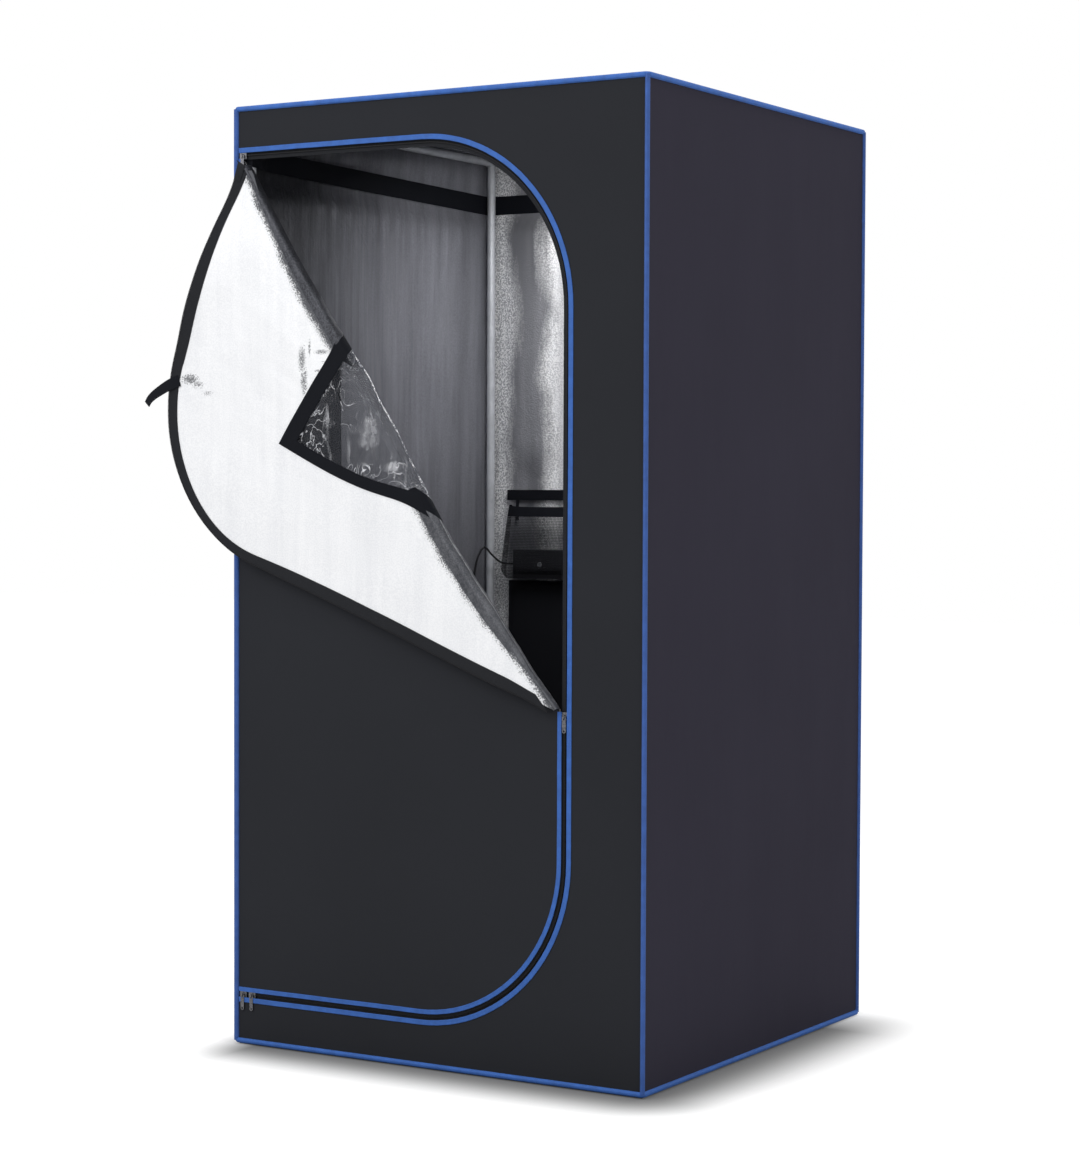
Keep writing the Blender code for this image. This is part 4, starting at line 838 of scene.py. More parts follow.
LEAD_ROUTES = {
    "left": [
        (-0.3835, 0.327, 0.7783), (-0.3835, 0.327, 0.7933), (-0.3819, 0.3275, 0.8031), (-0.3796, 0.3285, 0.8148),
        (-0.377, 0.33, 0.825), (-0.3725, 0.3333, 0.8368), (-0.368, 0.338, 0.843), (-0.3651, 0.3442, 0.8387),
        (-0.362, 0.352, 0.83), (-0.3592, 0.3586, 0.8241), (-0.3559, 0.366, 0.8178), (-0.352, 0.372, 0.813),
        (-0.344, 0.3772, 0.8106), (-0.3363, 0.38, 0.8103), (-0.3288, 0.38, 0.8103), (-0.3213, 0.38, 0.8103),
    ],
    "back": [
        (-0.1197, 0.3846, 0.7783), (-0.1197, 0.3846, 0.7933), (-0.1202, 0.3822, 0.802), (-0.121, 0.3788, 0.8119),
        (-0.1227, 0.376, 0.82), (-0.1275, 0.3734, 0.8275), (-0.1337, 0.372, 0.83), (-0.1396, 0.3718, 0.8242),
        (-0.1477, 0.373, 0.817), (-0.1568, 0.3751, 0.8155), (-0.1674, 0.3779, 0.8153), (-0.1757, 0.38, 0.8153),
        (-0.1832, 0.38, 0.8153), (-0.1907, 0.38, 0.8153),
    ],
    "right": [
        (0.3842, 0.327, 0.7783), (0.3842, 0.327, 0.7933), (0.3812, 0.3301, 0.7992), (0.3767, 0.3348, 0.805),
        (0.3709, 0.342, 0.8083), (0.3701, 0.3504, 0.8078), (0.3715, 0.3612, 0.8055), (0.3663, 0.3713, 0.8025),
        (0.3459, 0.378, 0.8003), (0.3256, 0.3794, 0.7996), (0.2994, 0.3795, 0.799), (0.2689, 0.3788, 0.7985),
        (0.224, 0.377, 0.798), (0.1777, 0.3869, 0.7975), (0.1334, 0.3732, 0.797), (0.0913, 0.3722, 0.7962),
        (0.0462, 0.3711, 0.7952), (0.0008, 0.3699, 0.7941), (-0.0417, 0.3689, 0.7933), (-0.0782, 0.3682, 0.793),
        (-0.0997, 0.368, 0.7933), (-0.1208, 0.3681, 0.7949), (-0.1324, 0.3687, 0.7976), (-0.1383, 0.3696, 0.8006),
        (-0.1422, 0.3708, 0.8034), (-0.1477, 0.372, 0.8053), (-0.1593, 0.3866, 0.8062), (-0.1686, 0.3777, 0.8057),
        (-0.1757, 0.38, 0.8053), (-0.1832, 0.38, 0.8053), (-0.1907, 0.38, 0.8053),
    ],
}
for words, route in LEAD_ROUTES.items():
    curve = bpy.data.curves.new(f"heater_lead_{words}", "CURVE")
    curve.dimensions = "3D"
    curve.bevel_depth = 0.002
    curve.bevel_resolution = 4
    spline = curve.splines.new("POLY")
    spline.points.add(len(route) - 1)
    for point, place in zip(spline.points, route):
        point.co = (*place, 1.0)
    curve.materials.append(LOOKS["rubber"].mat)
    lead = goes(link(bpy.data.objects.new(f"heater_lead_{words}", curve)), "tent", f"lead_{words}")


# Cover

WALL_LOW, WALL_HIGH = 0.0098, HEIGHT - 0.0036
SIDE = HALF - TRIM
FACE = HALF - 0.0034
LAMINATE = 0.0023


def rect(half, low, high):
    return [(-half, low), (half, low), (half, high), (-half, high)]


def wall_lift(seed, dents):
    """Tent cloth drawn over the frame: a few soft upright draws."""
    def lift(u, v, edge):
        draws = soft_noise(u * 4.0, v * 0.6, 0.9, seed, 2)
        near = soft_noise(u, v, 0.22, seed + 1, 2)
        return eased(edge - 0.008, 0.06) * dents * (1.1 * draws + 0.7 * near)
    return lift


def roof_sag(u, v, edge):
    return -0.007 * np.cos(np.pi * u / (2 * SIDE)) * np.cos(np.pi * v / (2 * SIDE)) * eased(edge, 0.05)


wall = rect(FACE, WALL_LOW, WALL_HIGH)
sheet(
    "tent_front_wall", "cover_front",
    [wall + [(-FACE, DOOR_TOP)] + whole_path(0.0)[::-1][1:-1] + [(-FACE, DOOR_BOTTOM)]], 0.012,
    front_place(FRONT + LAMINATE / 2), wall_lift(21, 0.0005), LAMINATE, ["cloth", "lining"],
)
# The side walls wear the lighter cloth, painted light.
for side, seed in (("left", 31), ("right", 41)):
    sheet(
        f"tent_{side}_wall", f"cover_{side}", [wall], 0.014, wall_place(side, CLOTH / 2), wall_lift(seed, 0.0009),
        CLOTH, ["cloth_side_painted_light"],
    )
sheet(
    "tent_back_wall", "cover_back", [wall], 0.016, wall_place("back", CLOTH / 2), still, CLOTH, ["cloth"],
)
square = rect(FACE, -FACE, FACE)
sheet(
    "tent_roof", "cover_roof", [square], 0.016, level_place(HEIGHT - LAMINATE / 2), roof_sag, LAMINATE,
    ["cloth", "lining"],
)
sheet("tent_floor", "cover_floor", [square], 0.02, level_place(0.001), still, 0.002, ["floor_cloth"])


# Blue tapes

def round_profile(radius, sides=12, square_off=0.82):
    """A soft rounded square, as tape folded round a seam has."""
    found = []
    for side in range(sides):
        c, s = math.cos(2 * math.pi * side / sides), math.sin(2 * math.pi * side / sides)
        reach = radius * (abs(c) ** 2.6 + abs(s) ** 2.6) ** (-1 / 2.6) * square_off
        found.append((reach * c, reach * s))
    return found


def ring_path(z, corner=0.0055, steps=5, spacing=0.02):
    x = HALF - corner
    found = []
    for quarter, (sx, sy) in enumerate(((1, 1), (-1, 1), (-1, -1), (1, -1))):
        for step in range(steps + 1):
            angle = math.radians(90 * (quarter + step / steps))
            found.append((sx * x + corner * math.cos(angle), sy * x + corner * math.sin(angle), z))
    return resampled(found, spacing)


RING_LOW = 0.0062
parts = [
    sweep("ring", ring_path(z), round_profile(0.0053), ["tape"], closed=True, up=(0, 0, 1))
    for z in (RING_LOW, HEIGHT)
]
# The corner posts take the darker blue tape, painted shade.
for sx in (-1, 1):
    for sy in (-1, 1):
        post = [(sx * HALF, sy * HALF, z) for z in np.linspace(RING_LOW, HEIGHT, 90)]
        parts.append(sweep(
            "post", post, round_profile(0.0058 if sx < 0 else 0.0047), ["seam"], up=(sx, sy, 0),
            wobble=0.00012, seed=3 + sx + 2 * sy,
        ))
goes(joined_objects("tent_edge_tape", parts), "tent", "edge_binding")


def flat_tape(name, path, half, wobble=0.0, seed=1):
    """A crowned flat tape on the door's face, doubled at its folded edges, along a line of (x, z)."""
    rise, under = 0.0012, -0.00018
    top = [(-1.0, 0.25), (-0.96, 0.75), (-0.85, 1.0), (-0.62, 0.86), (0, 0.98)]
    top += [(-a, b) for a, b in top[3::-1]]
    profile = [(a * half, b * rise) for a, b in top] + [(half * 0.97, under), (-half * 0.97, under)]
    return sweep(name, [(x, FRONT - 0.0004, z) for x, z in path], profile, ["tape"], wobble=wobble, seed=seed)


DOOR_TAPE = 0.0039
door_line = resampled(whole_path(0.0), 0.012, closed=False)
goes(flat_tape("doorway_tape", door_line, 0.0043, 0.00025, 5), "tent", "doorway_binding")
panel_line = resampled(low_path(EDGE_TAPE, fold_z(DOOR_RIGHT - EDGE_TAPE) - 0.004), 0.012, closed=False)
top_line = [(DOOR_LEFT, DOOR_TOP - EDGE_TAPE), (FOLD_TOP.x - 0.004, DOOR_TOP - EDGE_TAPE)]
goes(joined_objects("door_edge_tape", [
    flat_tape("low", panel_line, DOOR_TAPE, 0.00025, 6), flat_tape("top", top_line, DOOR_TAPE)
]), "tent", "door_panel_binding")


# Door panel below the fold, and flap turned down over it

def door_lift(u, v, edge):
    """The hanging door cloth: nearly flat, with shallow upright draws from the fold."""
    draws = soft_noise(u * 3.0, v * 0.7, 0.7, 61, 2) + 0.6 * soft_noise(u, v, 0.2, 62, 2)
    return eased(edge - 0.012, 0.08) * 0.0007 * draws


def flap_crease(u, v, edge):
    """Sharp little creases of the film near the window's border and from the strap."""
    folds = soft_noise(u * 1.0 + v * 0.6, v - u * 0.8, 0.075, 81, 3)
    near = np.exp(-((u + 0.10) / 0.16) ** 2 - ((v - 1.25) / 0.16) ** 2)
    return eased(edge - 0.004, 0.03) * (0.0007 * folds * (0.3 + 1.6 * near))


def panel_bag(u, v, edge):
    return eased(edge, 0.02) * 0.0015 * soft_noise(u, v, 0.06, 71, 3)


def flap_bag(u, v, edge):
    return eased(edge, 0.02) * 0.0030 * (0.4 + soft_noise(u * 1.2, v, 0.055, 91, 3))


def frame_strip(above):
    """The window's border on one side of the fold, as one open band."""
    def on_fold(point):
        return abs((Vector(point) - FOLD_TOP).dot(FOLD_SIDE)) < 1e-5

    def ordered(loop):
        count = len(loop)
        first = next(i for i in range(count) if on_fold(loop[i]) and not on_fold(loop[(i + 1) % count]))
        return [loop[(first + i) % count] for i in range(count)]

    return ordered(window_loop(0.0, above)) + ordered(window_loop(BORDER, above))[::-1]


CLOTH_MID = FRONT + CLOTH / 2
LINING_MID = FRONT + CLOTH + TOUCH + LINING / 2
BORDER_Y, FILM_Y = -0.3969, -0.39825
FILM_LAP = BORDER - 0.010
for words, above, place, spacings, lifts, looks, body, held, rests in (
    ("panel", False, panel_place, (0.012, 0.014, 0.010, 0.008), (door_lift, door_lift, panel_bag), "white",
     "tent", ("hung", "hung", "stretched", "stretched"), (["tent_front_wall"], ["door_panel_cloth"], [], [])),
    ("flap", True, flap_place, (0.010, 0.009, 0.008, 0.006), (still, flap_crease, flap_bag), "flap_film",
     "flap", ("draped",) * 4,
     (["door_panel_cloth"], ["door_flap_cloth"], ["door_flap_film"], ["door_panel_cloth"])),
):
    outline = door_outline(EDGE_TAPE, above)
    node = "door_panel" if words == "panel" else "door_flap"
    sheet(
        f"door_{words}_cloth", node, [outline, window_loop(BORDER, above)], spacings[0], place(CLOTH_MID),
        lifts[0], CLOTH, ["cloth"], body,
    )
    sheet(
        f"door_{words}_film", f"{node}_lining", [outline, window_loop(FILM_LAP - TOUCH, above)], spacings[1],
        place(LINING_MID), lifts[1], LINING, [looks], body,
    )
    sheet(
        f"window_edge_{words}", f"window_border_{words}", [frame_strip(above)], spacings[2], place(BORDER_Y),
        still, 0.0010, ["web"], body, BORDER,
    )
    sheet(
        f"window_{words}_film", f"window_film_{words}", [window_loop(FILM_LAP, above)], spacings[3],
        place(FILM_Y), lifts[2], 0.0005, ["clear"], body,
    )
flap_line = high_path(EDGE_TAPE, fold_z(DOOR_RIGHT - EDGE_TAPE) + 0.050, tip_x(DOOR_TOP - EDGE_TAPE))
flap_tape = flat_tape("door_flap_tape", resampled(flap_line, 0.010, closed=False), DOOR_TAPE)
goes(carried(flap_tape), "flap", "door_flap_binding")


# Zip: woven tapes and moulded teeth

def zip_teeth(name, path, outward, start, pitch=ZIP_PITCH, reach=0.0024):
    """Small rounded blocks across a path of (x, z), set towards one side of it."""
    path = np.array([(x, 0, z) for x, z in path], float)
    lengths = np.linalg.norm(np.diff(path, axis=0), axis=1)
    total = np.concatenate([[0], np.cumsum(lengths)])
    shape = [(-1, 0), (-0.6, -0.8), (0.6, -0.8), (1, 0), (0.6, 0.8), (-0.6, 0.8)]
    n = len(shape)
    points, faces = [], []
    at = start
    while at < total[-1]:
        i = min(len(lengths) - 1, int(np.searchsorted(total, at, side="right")) - 1)
        along = Vector(path[i + 1] - path[i]).normalized()
        side = Vector((along.z, 0, -along.x)) * outward
        centre = Vector(path[i] + (path[i + 1] - path[i]) * (at - total[i]) / lengths[i]) + side * (reach * 0.30)
        centre.y = ZIP_Y
        base = len(points)
        for end in (-1, 1):
            points += [
                centre + side * (p * reach / 2) + Vector((0, q * 0.0012, 0)) + along * (end * pitch * 0.37)
                for p, q in shape
            ]
        faces += [tuple(base + k for k in range(n))[::-1], tuple(base + n + k for k in range(n))]
        faces += [(base + k, base + (k + 1) % n, base + n + (k + 1) % n, base + n + k) for k in range(n)]
        at += pitch
    return mesh_object(name, points, faces, ["teeth"], 30, closed=True)


def zip_half(name, maker, count, sign, start=ZIP_PITCH / 2, on_flap=False):
    """Tape and teeth of one half: sign -1 on the cover's side, 1 on the door's.

    The cover's tape laps a little behind the door's; the flap's is slimmer where it curls at its corner."""
    def even(inset):
        path = np.array(maker(inset))
        lengths = np.concatenate([[0], np.cumsum(np.linalg.norm(np.diff(path, axis=0), axis=1))])
        steps = np.linspace(0, lengths[-1], count)
        return np.stack([np.interp(steps, lengths, path[:, 0]), np.interp(steps, lengths, path[:, 1])], axis=1)

    lap, behind = (0.0070, 0.0016) if sign < 0 else (0.0005, 0.0)
    a, b = even(ZIP_INSET + lap), even(ZIP_INSET + sign * 0.021)
    if on_flap:
        slim = 0.32 * bell(a[:, 1], 1.33, 0.13) * (a[:, 0] > 0)
        b = b + (a - b) * slim[:, None]
    points = [(x, ZIP_Y + behind, z) for x, z in np.concatenate([a, b])]
    faces = [(i, i + 1, count + i + 1, count + i) for i in range(count - 1)]
    tape = thicken(mesh_object(f"{name}_tape", points, faces, ["zip_tape"]), 0.0006)
    middle = resampled(even(ZIP_INSET + sign * 0.0010), 0.004, closed=False)
    return joined_objects(name, [tape, zip_teeth(f"{name}_teeth", middle, sign, start)])


goes(zip_half("zip_cover_side", whole_path, 420, -1, 0.0), "tent", "zip_frame_half")
goes(zip_half(
    "zip_door_side", lambda inset: low_path(inset, fold_z(DOOR_RIGHT - inset) - 0.002), 240, 1
), "tent", "zip_panel_half")
goes(carried(zip_half(
    "zip_flap_side",
    lambda inset: high_path(inset, fold_z(DOOR_RIGHT - inset) + 0.022, tip_x(DOOR_TOP - inset)), 240, 1,
    on_flap=True,
)), "flap", "zip_flap_half")

tip_loop = [(-0.3925, 1.478), (-0.3790, 1.4745), (-0.3680, 1.501), (-0.3865, 1.512), (-0.3830, 1.507)]
tip_tape = sheet(
    "zip_tip_tape", None, [tip_loop], 0.004, front_place(-0.4182), lambda u, v, e: eased(e, 0.006) * 0.0012,
    0.0008, ["zip_tape"],
)
goes(tip_tape, "flap")


# Tie strap on the flap

def strap_ribbon():
    """The strap comes from behind the edge tape, twists a little and hooks down at its cut end."""
    line = np.array([
        (-0.508, 1.1405), (-0.5218, 1.136), (-0.534, 1.1315), (-0.5475, 1.125), (-0.560, 1.118),
        (-0.5705, 1.1095), (-0.5765, 1.1005),
    ])
    widths = [0.020, 0.020, 0.0195, 0.019, 0.018, 0.0175, 0.0175]
    knots, fine = range(len(line)), np.linspace(0, len(line) - 1, 31)
    x, z = np.interp(fine, knots, line[:, 0]), np.interp(fine, knots, line[:, 1])
    for _ in range(3):
        x[1:-1] = (x[:-2] + 2 * x[1:-1] + x[2:]) / 4
        z[1:-1] = (z[:-2] + 2 * z[1:-1] + z[2:]) / 4
    half = np.interp(fine, knots, widths) / 2
    dx, dz = np.gradient(x), np.gradient(z)
    length = np.hypot(dx, dz)
    points, across = [], 7
    for i, share in enumerate(fine / fine[-1]):
        for k in range(across):
            t = half[i] * (2 * k / (across - 1) - 1)
            level, deep = t * math.cos(0.35 * share), t * math.sin(0.35 * share)
            y = -0.4212 - 0.003 * share - deep - 0.0008 * math.sin(9 * share)
            points.append((x[i] - dz[i] / length[i] * level, y, z[i] + dx[i] / length[i] * level))
    obj = mesh_object("door_tie_strap", points, grid_faces(len(fine), across), ["web"], 60)
    return thicken(obj, 0.0012), float(np.sum(length))


strap, strap_length = strap_ribbon()
goes(strap, "flap", "tie_strap")


# The rolled fold, with the panel's and the flap's cloth this far off its middle plane


def roll_skin():
    """The door's skin turning over the fold, from the flap round to the panel: film outside, cloth within."""
    start, end = 0.014, 1.104
    rows = np.linspace(start, end, 331)
    angles = [math.radians(a) for a in range(90, 271, 12)]
    across = len(angles) + 2
    points, slots = [], []
    for s in rows:
        top, low = float(eased(s - start + 0.010, 0.30)), float(eased(end - s + 0.006, 0.24))
        full = top * low
        plump = full * (0.25 + 0.75 * float(eased(s - 0.34, 0.12)))
        radius = 0.0036 + 0.0072 * plump + 0.0006 * math.sin(s * 71) * full
        lean = 0.0018 * float(soft_noise(np.array(s), np.array(0.0), 0.09, 95, 3)) * full
        tail = 0.002 + 0.011 * min(top, low)
        thick = 0.0103 - 0.0030 * (1 - low)
        profile = [(radius * math.cos(a) + lean, thick * math.sin(a)) for a in angles]
        for k, (v, out) in enumerate([(tail, thick + 0.0002), *profile, (tail, -thick)]):
            turn = k / (across - 1)
            skew = np.interp(turn, [0, 0.5, 1], [0.009, 0.0, -0.020]) * bell(s, CROSS_HIGH, 0.06)
            skew += np.interp(turn, [0, 0.5, 1], [-0.034, 0.0, 0.021]) * bell(s, CROSS_LOW, 0.10)
            x, z = from_axis(s + skew, v + float(bow(s + skew, 0.0)))
            points.append((x + 0.005 * bell(s, 0.02, 0.045), FOLD_Y - out, z))
    looks = ["fold", "web", "clear", "clear_crest", "fold_glint", "fold_upper"]
    crest = across // 2 - 2
    # Painted light on the skin: dark silver painted shade over the fold, darker near its top, a painted highlight
    # row on its crest, and painted glints on the window film's crest.
    for s in (rows[:-1] + rows[1:]) / 2:
        for k in range(across - 1):
            if abs(s - CROSS_HIGH) < 0.016 or abs(s - CROSS_LOW) < 0.022:
                look = "web"
            elif CROSS_HIGH < s < CROSS_LOW:
                look = "clear_crest" if k in (crest, crest + 1) else "clear"
            elif s < 0.374:
                look = "fold_upper"
            else:
                look = "fold_glint" if k == crest and s < 1.04 else "fold"
            slots.append(2 * looks.index(look))
    pairs = [side for look in looks for side in (look, look if look[:3] in ("web", "cle") else "cloth")]
    obj = mesh_object("door_fold_skin", points, grid_faces(len(rows), across), pairs, slots=slots)
    return thicken(obj, 0.0008, True)


roll = roll_skin()
middle_x, middle_z = from_axis(0.55, 0.0)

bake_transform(roll)
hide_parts("door_fold_roll")


# Linings, with nothing lying on them above this height

FREE_FROM = 0.965


def fold_depth(along, z, phase):
    """The CAD's own folds, with finer gathers between them where nothing lies on the lining."""
    wander = 0.20 * np.sin(2 * np.pi * along / 0.31 + phase)
    turn = 2 * np.pi * (along / 0.088 + wander) + phase
    wave = 0.72 * (0.5 + 0.5 * np.sin(turn)) + 0.28 * (0.5 + 0.5 * np.sin(2 * turn + phase))
    ease = np.minimum(1.0, (SIDE - np.abs(along)) / 0.030)
    side = ease * (0.55 + 0.45 * np.cos(np.pi * along / (2 * SIDE)) ** 2)
    band = np.clip(np.minimum((z - BAND_LOW + 0.03) / 0.03, (BAND_LOW + BAND_WIDTH + 0.030 - z) / 0.01), 0, 1)
    return side * wave * np.where(z > BAND_LOW + BAND_WIDTH / 2, 0.0045, 0.010) * (1 - band)


def lining_lift(wall, phase, gathers, smooth):
    """Depth of a wall's lining: the folds fade out above the heating panel, and gathers hang from the band."""
    def lift(u, v, edge):
        calm = 1 - (1 - smooth) * eased(v - FREE_FROM, 0.12)
        free = eased(v - FREE_FROM, 0.08) * eased(BAND_LOW - 0.002 - v, 0.04)
        tucks = 0.5 + 0.5 * soft_noise(u * 1.0, v * 0.12, 0.040, 141 + len(wall), 2)
        crinkle = 0.5 + 0.5 * soft_noise(u, v * 0.45, 0.045, 101 + len(wall), 3)
        if wall == "back":
            broad = 0.5 - 0.5 * np.cos(2 * np.pi * (-u + 0.378 + 0.010 * np.sin(v * 7)) / 0.15)
        else:
            broad = 0.5 + 0.5 * soft_noise(u, v * 0.22, 0.16, 111 + len(wall), 2)
        loose = free * (gathers * broad + 0.0012 * crinkle + 0.0080 * bell(v, BAND_LOW, 0.13) * tucks)
        high = eased(v - (BAND_LOW + BAND_WIDTH + 0.018), 0.02) * 0.007 * crinkle
        return -(fold_depth(u, v, phase) * calm + np.clip(edge / 0.02, 0, 1) * (loose + high))
    return lift


for wall, look, phase, gathers, smooth in (
    ("left", "lining", 0.4, 0.004, 0.12), ("right", "lining", 2.1, 0.004, 0.12),
    ("back", "lining_back", 1.2, 0.012, 0.35),
):
    sheet(
        f"lining_{wall}_film", f"lining_{wall}", [rect(SIDE, 0.025, WALL_HIGH)], 0.011, wall_place(wall, 0.0020),
        lining_lift(wall, phase, gathers, smooth), LINING, [look],
    )

inner = HALF - CLOTH - 2 * TOUCH - LINING - 0.0005
low_pole, high_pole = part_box("upright_front_left")
clear_of = high_pole[0] + 0.0015
band_path = resampled([
    (low_pole[0] + 0.003, low_pole[1] - 0.0018, 1.520), (clear_of, low_pole[1] - 0.0018, 1.520),
    (clear_of, high_pole[1] + 0.002, 1.519), (-inner + 0.010, high_pole[1] + 0.040, 1.518),
    (-inner, inner - 0.006, 1.507), (-inner + 0.006, inner, 1.507),
    (inner - 0.006, inner, 1.507), (inner, inner - 0.006, 1.507), (inner, FRONT + 0.0026 + TRIM, 1.507),
], 0.02, closed=False)
band_profile = [
    (0.0, -0.018), (0.0010, -0.0175), (0.0015, -0.006), (0.0015, 0.006), (0.0010, 0.0175), (0.0, 0.018),
]
goes(sweep("lining_band_web", band_path, band_profile, ["web"], up=(0, 0, 1)), "tent", "lining_band")


# Heating panels: flat soft pads with a sewn edge

PAD_HALF, PAD_LOW, PAD_HIGH = 0.342, 0.200, 0.778


def heating_pad(wall, low_corner, high_corner):
    columns, rows = 70, 60
    count = columns * rows
    side = np.linspace(-PAD_HALF, PAD_HALF, columns)
    u, v = (a.ravel() for a in np.meshgrid(side, np.linspace(PAD_LOW, PAD_HIGH, rows)))
    edge = np.minimum(PAD_HALF - np.abs(u), np.minimum(v - PAD_LOW, PAD_HIGH - v))
    swell = 0.30 + 0.70 * np.sqrt(np.clip(edge / 0.012, 0, 1))
    quilt = bell(np.abs(u), 0.114, 0.004) * eased(edge - 0.02, 0.03)
    swell = swell * (1 - 0.30 * bell(edge, 0.016, 0.0028)) * (1 - 0.22 * quilt)
    swell = swell * (1 - 0.05 * (0.5 + 0.5 * soft_noise(u, v, 0.09, 121, 3)))
    axis = 1 if wall == "back" else 0
    face, back = low_corner[axis], high_corner[axis]
    if wall == "left":
        face, back = back, face
    depths = np.concatenate([back + (face - back) * swell, np.full(count, back)])
    u, v = np.tile(u, 2), np.tile(v, 2)
    points = np.stack([u, depths, v] if axis else [depths, u, v], axis=1)
    faces = []
    for a, e, d, b in grid_faces(rows, columns):
        faces += [(a, b, d, e), (count + e, count + d, count + b, count + a)]
    border = list(range(columns)) + [r * columns + columns - 1 for r in range(1, rows)]
    border += [(rows - 1) * columns + c for c in range(columns - 2, -1, -1)]
    border += [r * columns for r in range(rows - 2, 0, -1)]
    faces += [(b, a, count + a, count + b) for a, b in zip(border, border[1:] + border[:1])]
    obj = mesh_object(f"heater_pad_{wall}", points, faces, ["panel"], 60, closed=True)
    goes(obj, "tent", f"heating_panel_{wall}")


for wall in ("left", "back", "right"):
    heating_pad(wall, *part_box(f"heating_panel_{wall}"))


# Hanging strip and mesh pocket

POCKET_X = -0.256
TAB = 0.160 / 2 - 0.012
strip_loop = [(0.347, 0.934), (0.347, 0.954), (-0.347, 0.954), (-0.347, 0.934)]
for centre in (-POCKET_X - TAB, -POCKET_X + TAB):
    strip_loop += [(centre + step, z) for step, z in (
        (-0.003, 0.934), (-0.003, 0.895), (0.003, 0.895), (0.003, 0.934)
    )]
sheet(
    "pocket_strip", "hanging_strip", [strip_loop], 0.008, wall_place("back", HALF - 0.38885),
    lambda u, v, e: -0.0004 - 0.0004 * soft_noise(u, v, 0.12, 131, 2), 0.0015, ["web"],
)


def mesh_pocket():
    """A small mesh bag: drawn in a little at its mouth, full and sagging at its foot."""
    low, high, back = 0.7825, 0.925, 0.3876
    levels, ring = 26, 44
    points = []
    for level in range(levels + 1):
        t = level / levels
        foot = min(1.0, math.sqrt(t / 0.12 + 0.02)) if t < 0.12 else 1.0
        depth = 0.0392 * foot * (1 - 0.42 * max(0.0, (t - 0.35) / 0.65) ** 1.3)
        half = (0.0945 - 0.0150 * t) * (0.965 + 0.035 * foot)
        for k in range(ring):
            a = math.pi * k / (ring - 1)
            c, s = math.cos(a), math.sin(a)
            x = POCKET_X + half * math.copysign(abs(c) ** 0.45, c)
            y = back - depth * abs(s) ** 0.50 + 0.0010 * math.sin(a * 9 + t * 5) * (1 - t * 0.3) * s
            sag = 0.004 * s ** 2 * max(0.0, t - 0.8) / 0.2
            points.append((x, min(back, y), low + (high - low) * t - sag))
    slots = [1 if level >= levels - 4 else 0 for level in range(levels) for _ in range(ring - 1)]
    faces = grid_faces(levels + 1, ring) + [tuple(range(ring))]
    obj = mesh_object("controller_mesh_pocket", points, faces, ["mesh", "web"], 60, slots=slots + [0])
    return thicken(obj, 0.0009)


pocket = mesh_pocket()
goes(pocket, "tent", "controller_pocket")


# CAD pieces that keep their shape

def finish_node(name, look, bevel=0.0):
    obj = NODES[name]
    for slot in obj.material_slots:
        slot.material = LOOKS[look].mat
    if bevel:
        edge = obj.modifiers.new("soft_edges", "BEVEL")
        edge.width = bevel
        edge.segments = 2
        edge.limit_method = "ANGLE"
        edge.angle_limit = math.radians(35)


for place in ("side", "top", "bottom_left", "bottom_right"):
    finish_node(f"slider_{place}", "nickel", 0.0002)
    finish_node(f"pull_{place}", "nickel", 0.00015)
for place in ("front", "right", "back", "left"):
    finish_node(f"rail_bottom_{place}", "steel")
    finish_node(f"rail_top_{place}", "steel")
for place in ("front_left", "front_right", "back_left", "back_right"):
    finish_node(f"upright_{place}", "steel")
finish_node("controller_front_shell", "plastic", 0.0006)
finish_node("controller_back_shell", "plastic", 0.0006)
finish_node("controller_board", "board")
finish_node("power_button", "key", 0.0003)
finish_node("cable_outlet", "plastic", 0.0004)


# Floor, light and backdrop

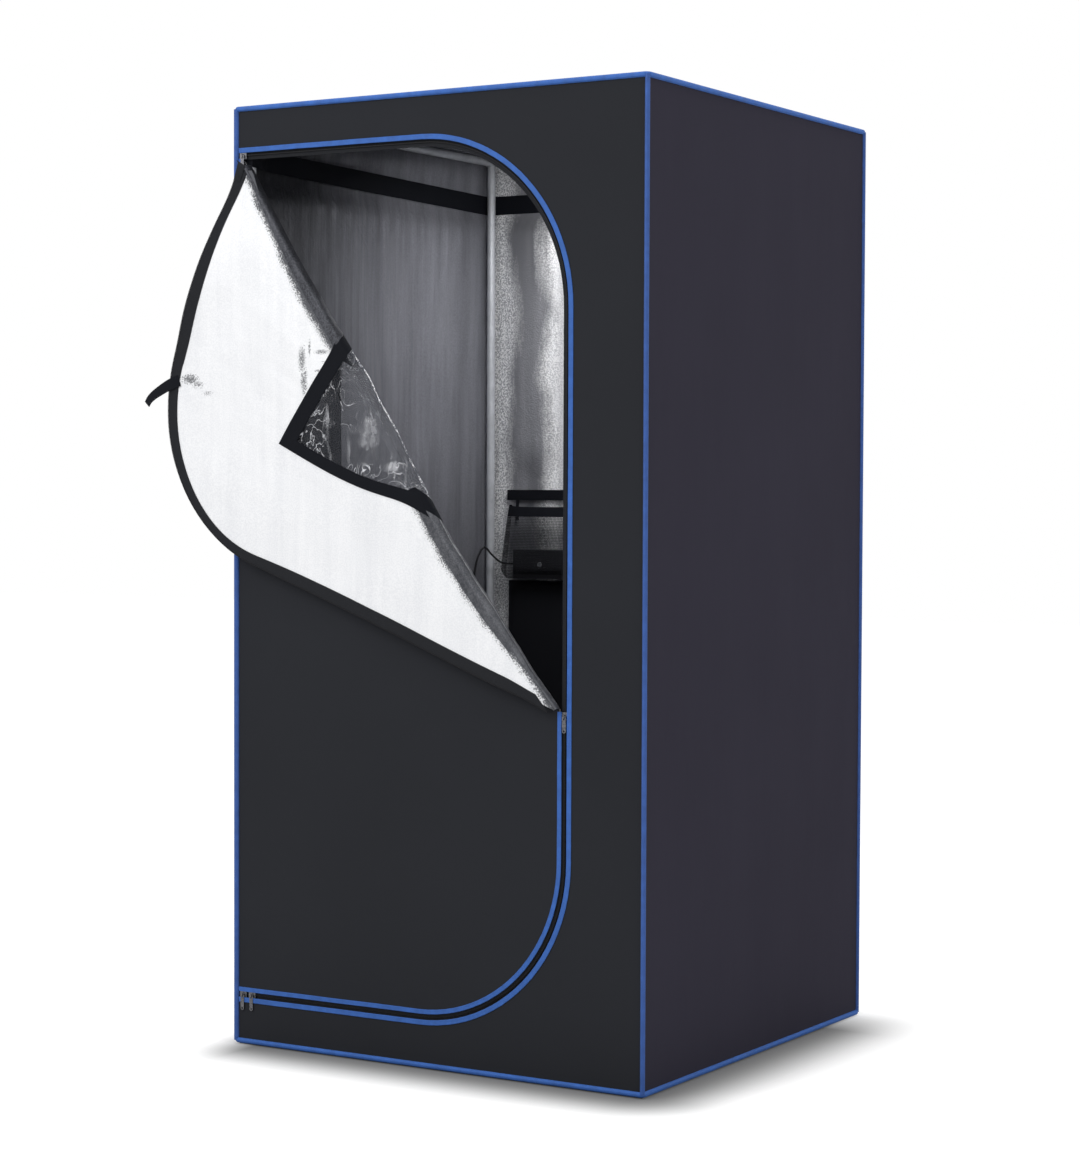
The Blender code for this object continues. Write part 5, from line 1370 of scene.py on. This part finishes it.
def floor_look():
    """A white floor with a painted soft shadow round where the object stands on it, mostly at its front and right.
    """
    look = Look("studio_floor", (0.80, 0.80, 0.80), 0.9, specular=0.0)
    x, y, _ = look.axes()
    # Painted shadow: darkest at the object's foot, gone 26 cm out, kept off the left and back.
    off = [look.calc("MAXIMUM", look.calc("ABSOLUTE", side) - (HALF - 0.02), 0.0) for side in (x, y)]
    far = look.calc("SQRT", off[0] * off[0] + off[1] * off[1])
    near = look.calc("POWER", far.spread(0.0, 0.26, 1.0, 0.0, interpolation_type="SMOOTHERSTEP"), 1.35)
    near = near * (x.spread(-0.47, -0.36) * y.spread(0.46, 0.26))
    outside_painted_shadow = 1.0 - near
    pale = look.blend(look.noise(40.0, 3.0), (0.79, 0.79, 0.79), (0.81, 0.81, 0.81))
    look.base(look.blend(outside_painted_shadow, (0.16, 0.16, 0.16), pale))
    # Emission on camera rays only, less inside the painted shadow.
    seen = look.node("ShaderNodeLightPath", {}, "Is Camera Ray")
    look.shade("Emission Color", (1.0, 1.0, 1.0, 1.0))
    look.shade("Emission Strength", seen * outside_painted_shadow.spread(0.0, 1.0, 0.06, 0.62))
    return look


LOOKS["floor"] = floor_look()
ground = mesh_object(
    "studio_floor", [(-14, -14, 0), (14, -14, 0), (14, 14, 0), (-14, 14, 0)], [(0, 1, 2, 3)], ["floor"]
)
ground.location.z = -0.0004


def add_lamp(name, place, target, size, power):
    data = bpy.data.lights.new(name, "AREA")
    data.shape = "RECTANGLE"
    data.size = data.size_y = size
    data.energy = power
    lamp = link(bpy.data.objects.new(name, data))
    lamp.location = place
    lamp.rotation_euler = (Vector(target) - Vector(place)).to_track_quat("-Z", "Y").to_euler()
    return lamp


add_lamp("key", (-1.6, -3.6, 3.4), (0, 0, 0.8), 2.6, 86)
add_lamp("fill", (4.2, -1.8, 2.4), (0, 0, 0.8), 2.4, 40)
add_lamp("top", (0.2, 0.2, 4.2), (0, 0, 0.0), 3.0, 40)
add_lamp("cabin", (0.10, 0.02, 1.47), (-0.10, 0.34, 0.3), 0.34, 5.4).visible_camera = False


def set_world():
    """A white world, at full strength where it is seen, mirrored or looked through."""
    world = bpy.data.worlds.new("studio")
    nodes = Nodes(world)
    camera, glossy, clear = (
        nodes.node("ShaderNodeLightPath", {}, f"Is {ray} Ray") for ray in ("Camera", "Glossy", "Transmission")
    )
    seen = nodes.calc("MAXIMUM", nodes.calc("MAXIMUM", camera, glossy), clear)
    background = nodes.tree.nodes["Background"]
    nodes.set(background, "Strength", seen.spread(0.0, 1.0, 0.55, 1.0))
    nodes.set(background, "Color", (1, 1, 1, 1))
    bpy.context.scene.world = world


set_world()
bpy.context.scene.view_settings.view_transform = "Standard"
